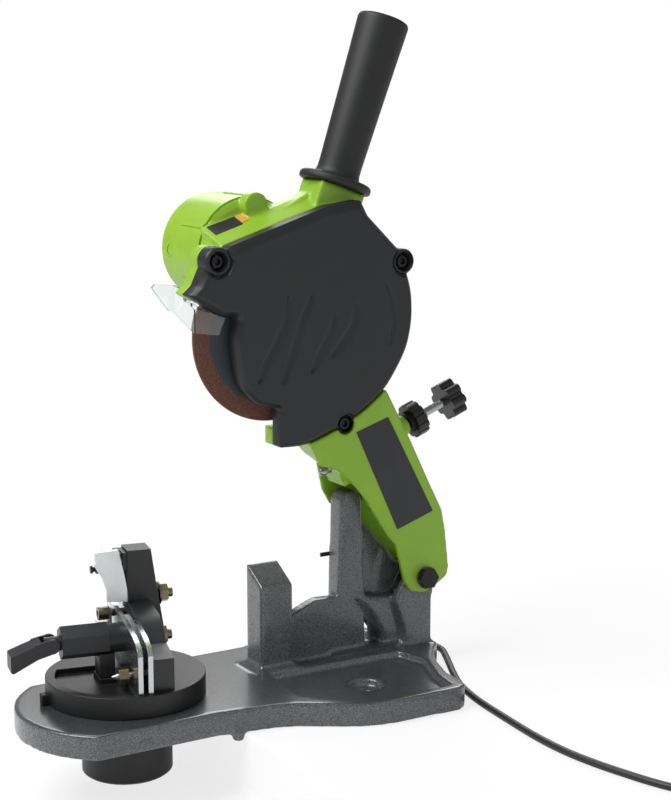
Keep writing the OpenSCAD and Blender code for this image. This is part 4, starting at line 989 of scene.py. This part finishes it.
axle = across(137.4, 305.3, 0)
grit, tree, skin = finish_named("resin bonded brown alumina", "#7d5546", 0.85)
grains = wire(tree, "ShaderNodeTexVoronoi", [(own_place(tree), "Vector")], in_Scale=1700.0).outputs
tone = toned(tree, grains["Color"], tint("#5b392d"), tint("#946a58"))
dark = wire(tree, "ShaderNodeMix", [(clouds(tree, 520.0, 4.0), "Factor"), (tone, "A")],
            data_type="RGBA", blend_type="MULTIPLY")
dark.inputs["B"].default_value = tint("#a58a7c")
feed(tree, skin.inputs["Base Color"], dark.outputs["Result"])
embossed(tree, skin, grains["Distance"], 0.8, 0.0004)
paper = grained("blue grey blotter paper", "#3e474e", 0.78, 0.35, 0.03, spread=0.07)
wheel_r, bore_r, half_thick = 72.5, 11.1, 1.6
wheel_line = [(wheel_r - 0.9, half_thick), (wheel_r - 0.25, half_thick - 0.15), (wheel_r, half_thick - 0.7)]
wheel_line = ([(bore_r, -half_thick)] + [(r, -h) for r, h in wheel_line]
              + wheel_line[::-1] + [(bore_r, half_thick)])
wheel = turned("abrasive_wheel", wheel_line, axle, grit, 160, ring=True)
settled(wheel, "wheel", "abrasive", "grinding_wheel")
blotter_thick = 0.18
for side, y in (("front", -half_thick - blotter_thick), ("rear", half_thick)):
    line = [(20.6, y), (57.4, y), (57.5, y + blotter_thick / 2), (57.4, y + blotter_thick),
            (20.6, y + blotter_thick)]
    settled(turned("blotter_" + side, line, axle, paper, 128, ring=True), "wheel", "bare_plate")
for node, width in (("inner_flange", 0.4), ("outer_flange", 0.5), ("wheel_nut", 0.5), ("wheel_spindle", 0.5)):
    rounded(node, width, zinc, "zinc_steel")

# ------------------------------
# The drive inside the belt box: two turned pulleys and a matt neoprene belt.

rubber = grained("neoprene belt", "#1a1a1b", 0.7, 0.6, 0.08)
for node in ("driven_pulley", "motor_pulley"):
    rounded(node, 0.15, zinc, "zinc_steel")
rounded("drive_belt", 0.3, rubber, "belt_rubber")

# ------------------------------
# The motor: a round housing and a slotted end cap of the same dyed nylon as the
# arm; inside it a stack of laminations, brushes, a wound rotor and its fan.

for node in ("motor_housing", "motor_cap"):
    rounded(node, 1.6, dyed, "green_paint", segments=3)
# two flush caps of the same nylon close the brush holders' holes in the housing
motor_x, motor_z, brushes_y, motor_end_y = 130, 371, 75.5, 101.6
for side, quarter in (("near", -90), ("far", 90)):
    cap = turned("brush_cap_" + side,
                 [(0, 45.95), (5.0, 45.95), (5.25, 46.1), (5.25, 46.4), (4.9, 46.6), (0, 46.6)],
                 stood(motor_x, brushes_y, motor_z, quarter, "Y"), dyed)
    settled(cap, "arm", "green_paint")
screw_spots = [(33 * math.cos(a), 33 * math.sin(a), 0) for a in (math.pi * (k / 2 + 0.25) for k in range(4))]
cap_screws = set_of("motor_cap_screws", pieces_tree, socket_screw_mesh(3.4, 2.2, 3.0, 1.6, 6.0, zinc),
                    screw_spots, across(motor_x, motor_z, motor_end_y) @ turn_of(180, "X"), zinc)
settled(cap_screws, "arm", "zinc_steel")
# laminations: blued sheet steel, seen as fine lines round the stack
sheets, tree, skin = finish_named("stacked silicon steel sheet", "#6f7173", 0.42, 1.0)
stack = wire(tree, "ShaderNodeTexWave", [(own_place(tree), "Vector")], bands_direction="Y",
             in_Scale=320.0).outputs["Fac"]
embossed(tree, skin, stack, 0.5, 0.0001)
feed(tree, skin.inputs["Base Color"], toned(tree, stack, tint("#3e4042"), tint("#7f8184")))
wire_copper = grained("enamelled copper winding", "#9c5a34", 0.30, 0.7, 0.12, spread=0.2, metal=1.0)
carbon = grained("pressed carbon and brass", "#3a3431", 0.5, 0.3, 0.03, spread=0.3, metal=0.4)
for node, finish, slot in (("stator", sheets, "laminations"), ("brushes", carbon, "carbon"),
                           ("bearings", ground_steel, "zinc_steel"), ("armature", wire_copper, "copper"),
                           ("motor_shaft", ground_steel, "zinc_steel"), ("commutator", wire_copper, "copper"),
                           ("cooling_fan", filled, "black_plastic"), ("handle_stud", zinc, "zinc_steel")):
    rounded(node, 0.25, finish, slot)

# ------------------------------
# The switch and the cord inside the arm: a snap-in rocker switch in black nylon
# with a red rocker, a rubber grommet, and the lead on its way to the grommet.

rocker_red = grained("moulded red nylon", "#b3201c", 0.30, 0.8, 0.03, spread=0.04)
rounded("switch_body", 0.6, nylon, "black_plastic")
rounded("switch_rocker", 0.7, rocker_red, "rocker_red", segments=3)
rounded("strain_relief", 0.5, pvc, "cord_rubber")
inside = [(238, 14, 308.3), (238, 14, 301), (236, 15, 288), (229, 16.5, 275), (226, 16.8, 266),
          (226, 16.8, 250), (226, 16.8, 236), (229, 16.8, 224), (238, 16.8, 213), (245, 16.8, 206),
          (247, 16.8, 196.2)]
inner_lead = sleeve_along("lead_inside_arm", eased([at(*p) for p in inside], 5), cord_radius, cord_sides,
                          (1, 0.05, 0), sheath)
settled(inner_lead, "arm", "cord_rubber", "arm_cord")

# ------------------------------
# The handle: a moulded grip of black soft-touch rubber with a round guard disc
# under it, a little thicker towards its free end, on a steel stud.

soft_grip = grained("moulded soft touch rubber", "#161719", 0.55, 0.6, 0.06, spread=0.07)
grip_lean = 19.6
hand_stand = stood(204.4, 10, 424, grip_lean, "Y")
grip_profile = [(6.1, 0.05), (29.6, 0.05), (31, 1.4), (31, 5.0), (29.2, 7.0), (22.6, 7.2), (19.6, 8.6),
                (18.3, 12.5), (18.2, 20), (19.6, 70), (21, 115), (21.9, 140), (22, 143.6), (21.3, 145.8),
                (19.6, 146.9), (14, 147), (0, 147)]
grip_line = [(0, 102), (6.03, 102)] + blunted(grip_profile, 1.3, 4)
grip = turned("grip_moulding", grip_line, hand_stand, soft_grip, 96, smooth=40)
settled(grip, "arm", "grip_rubber", "handle_grip")
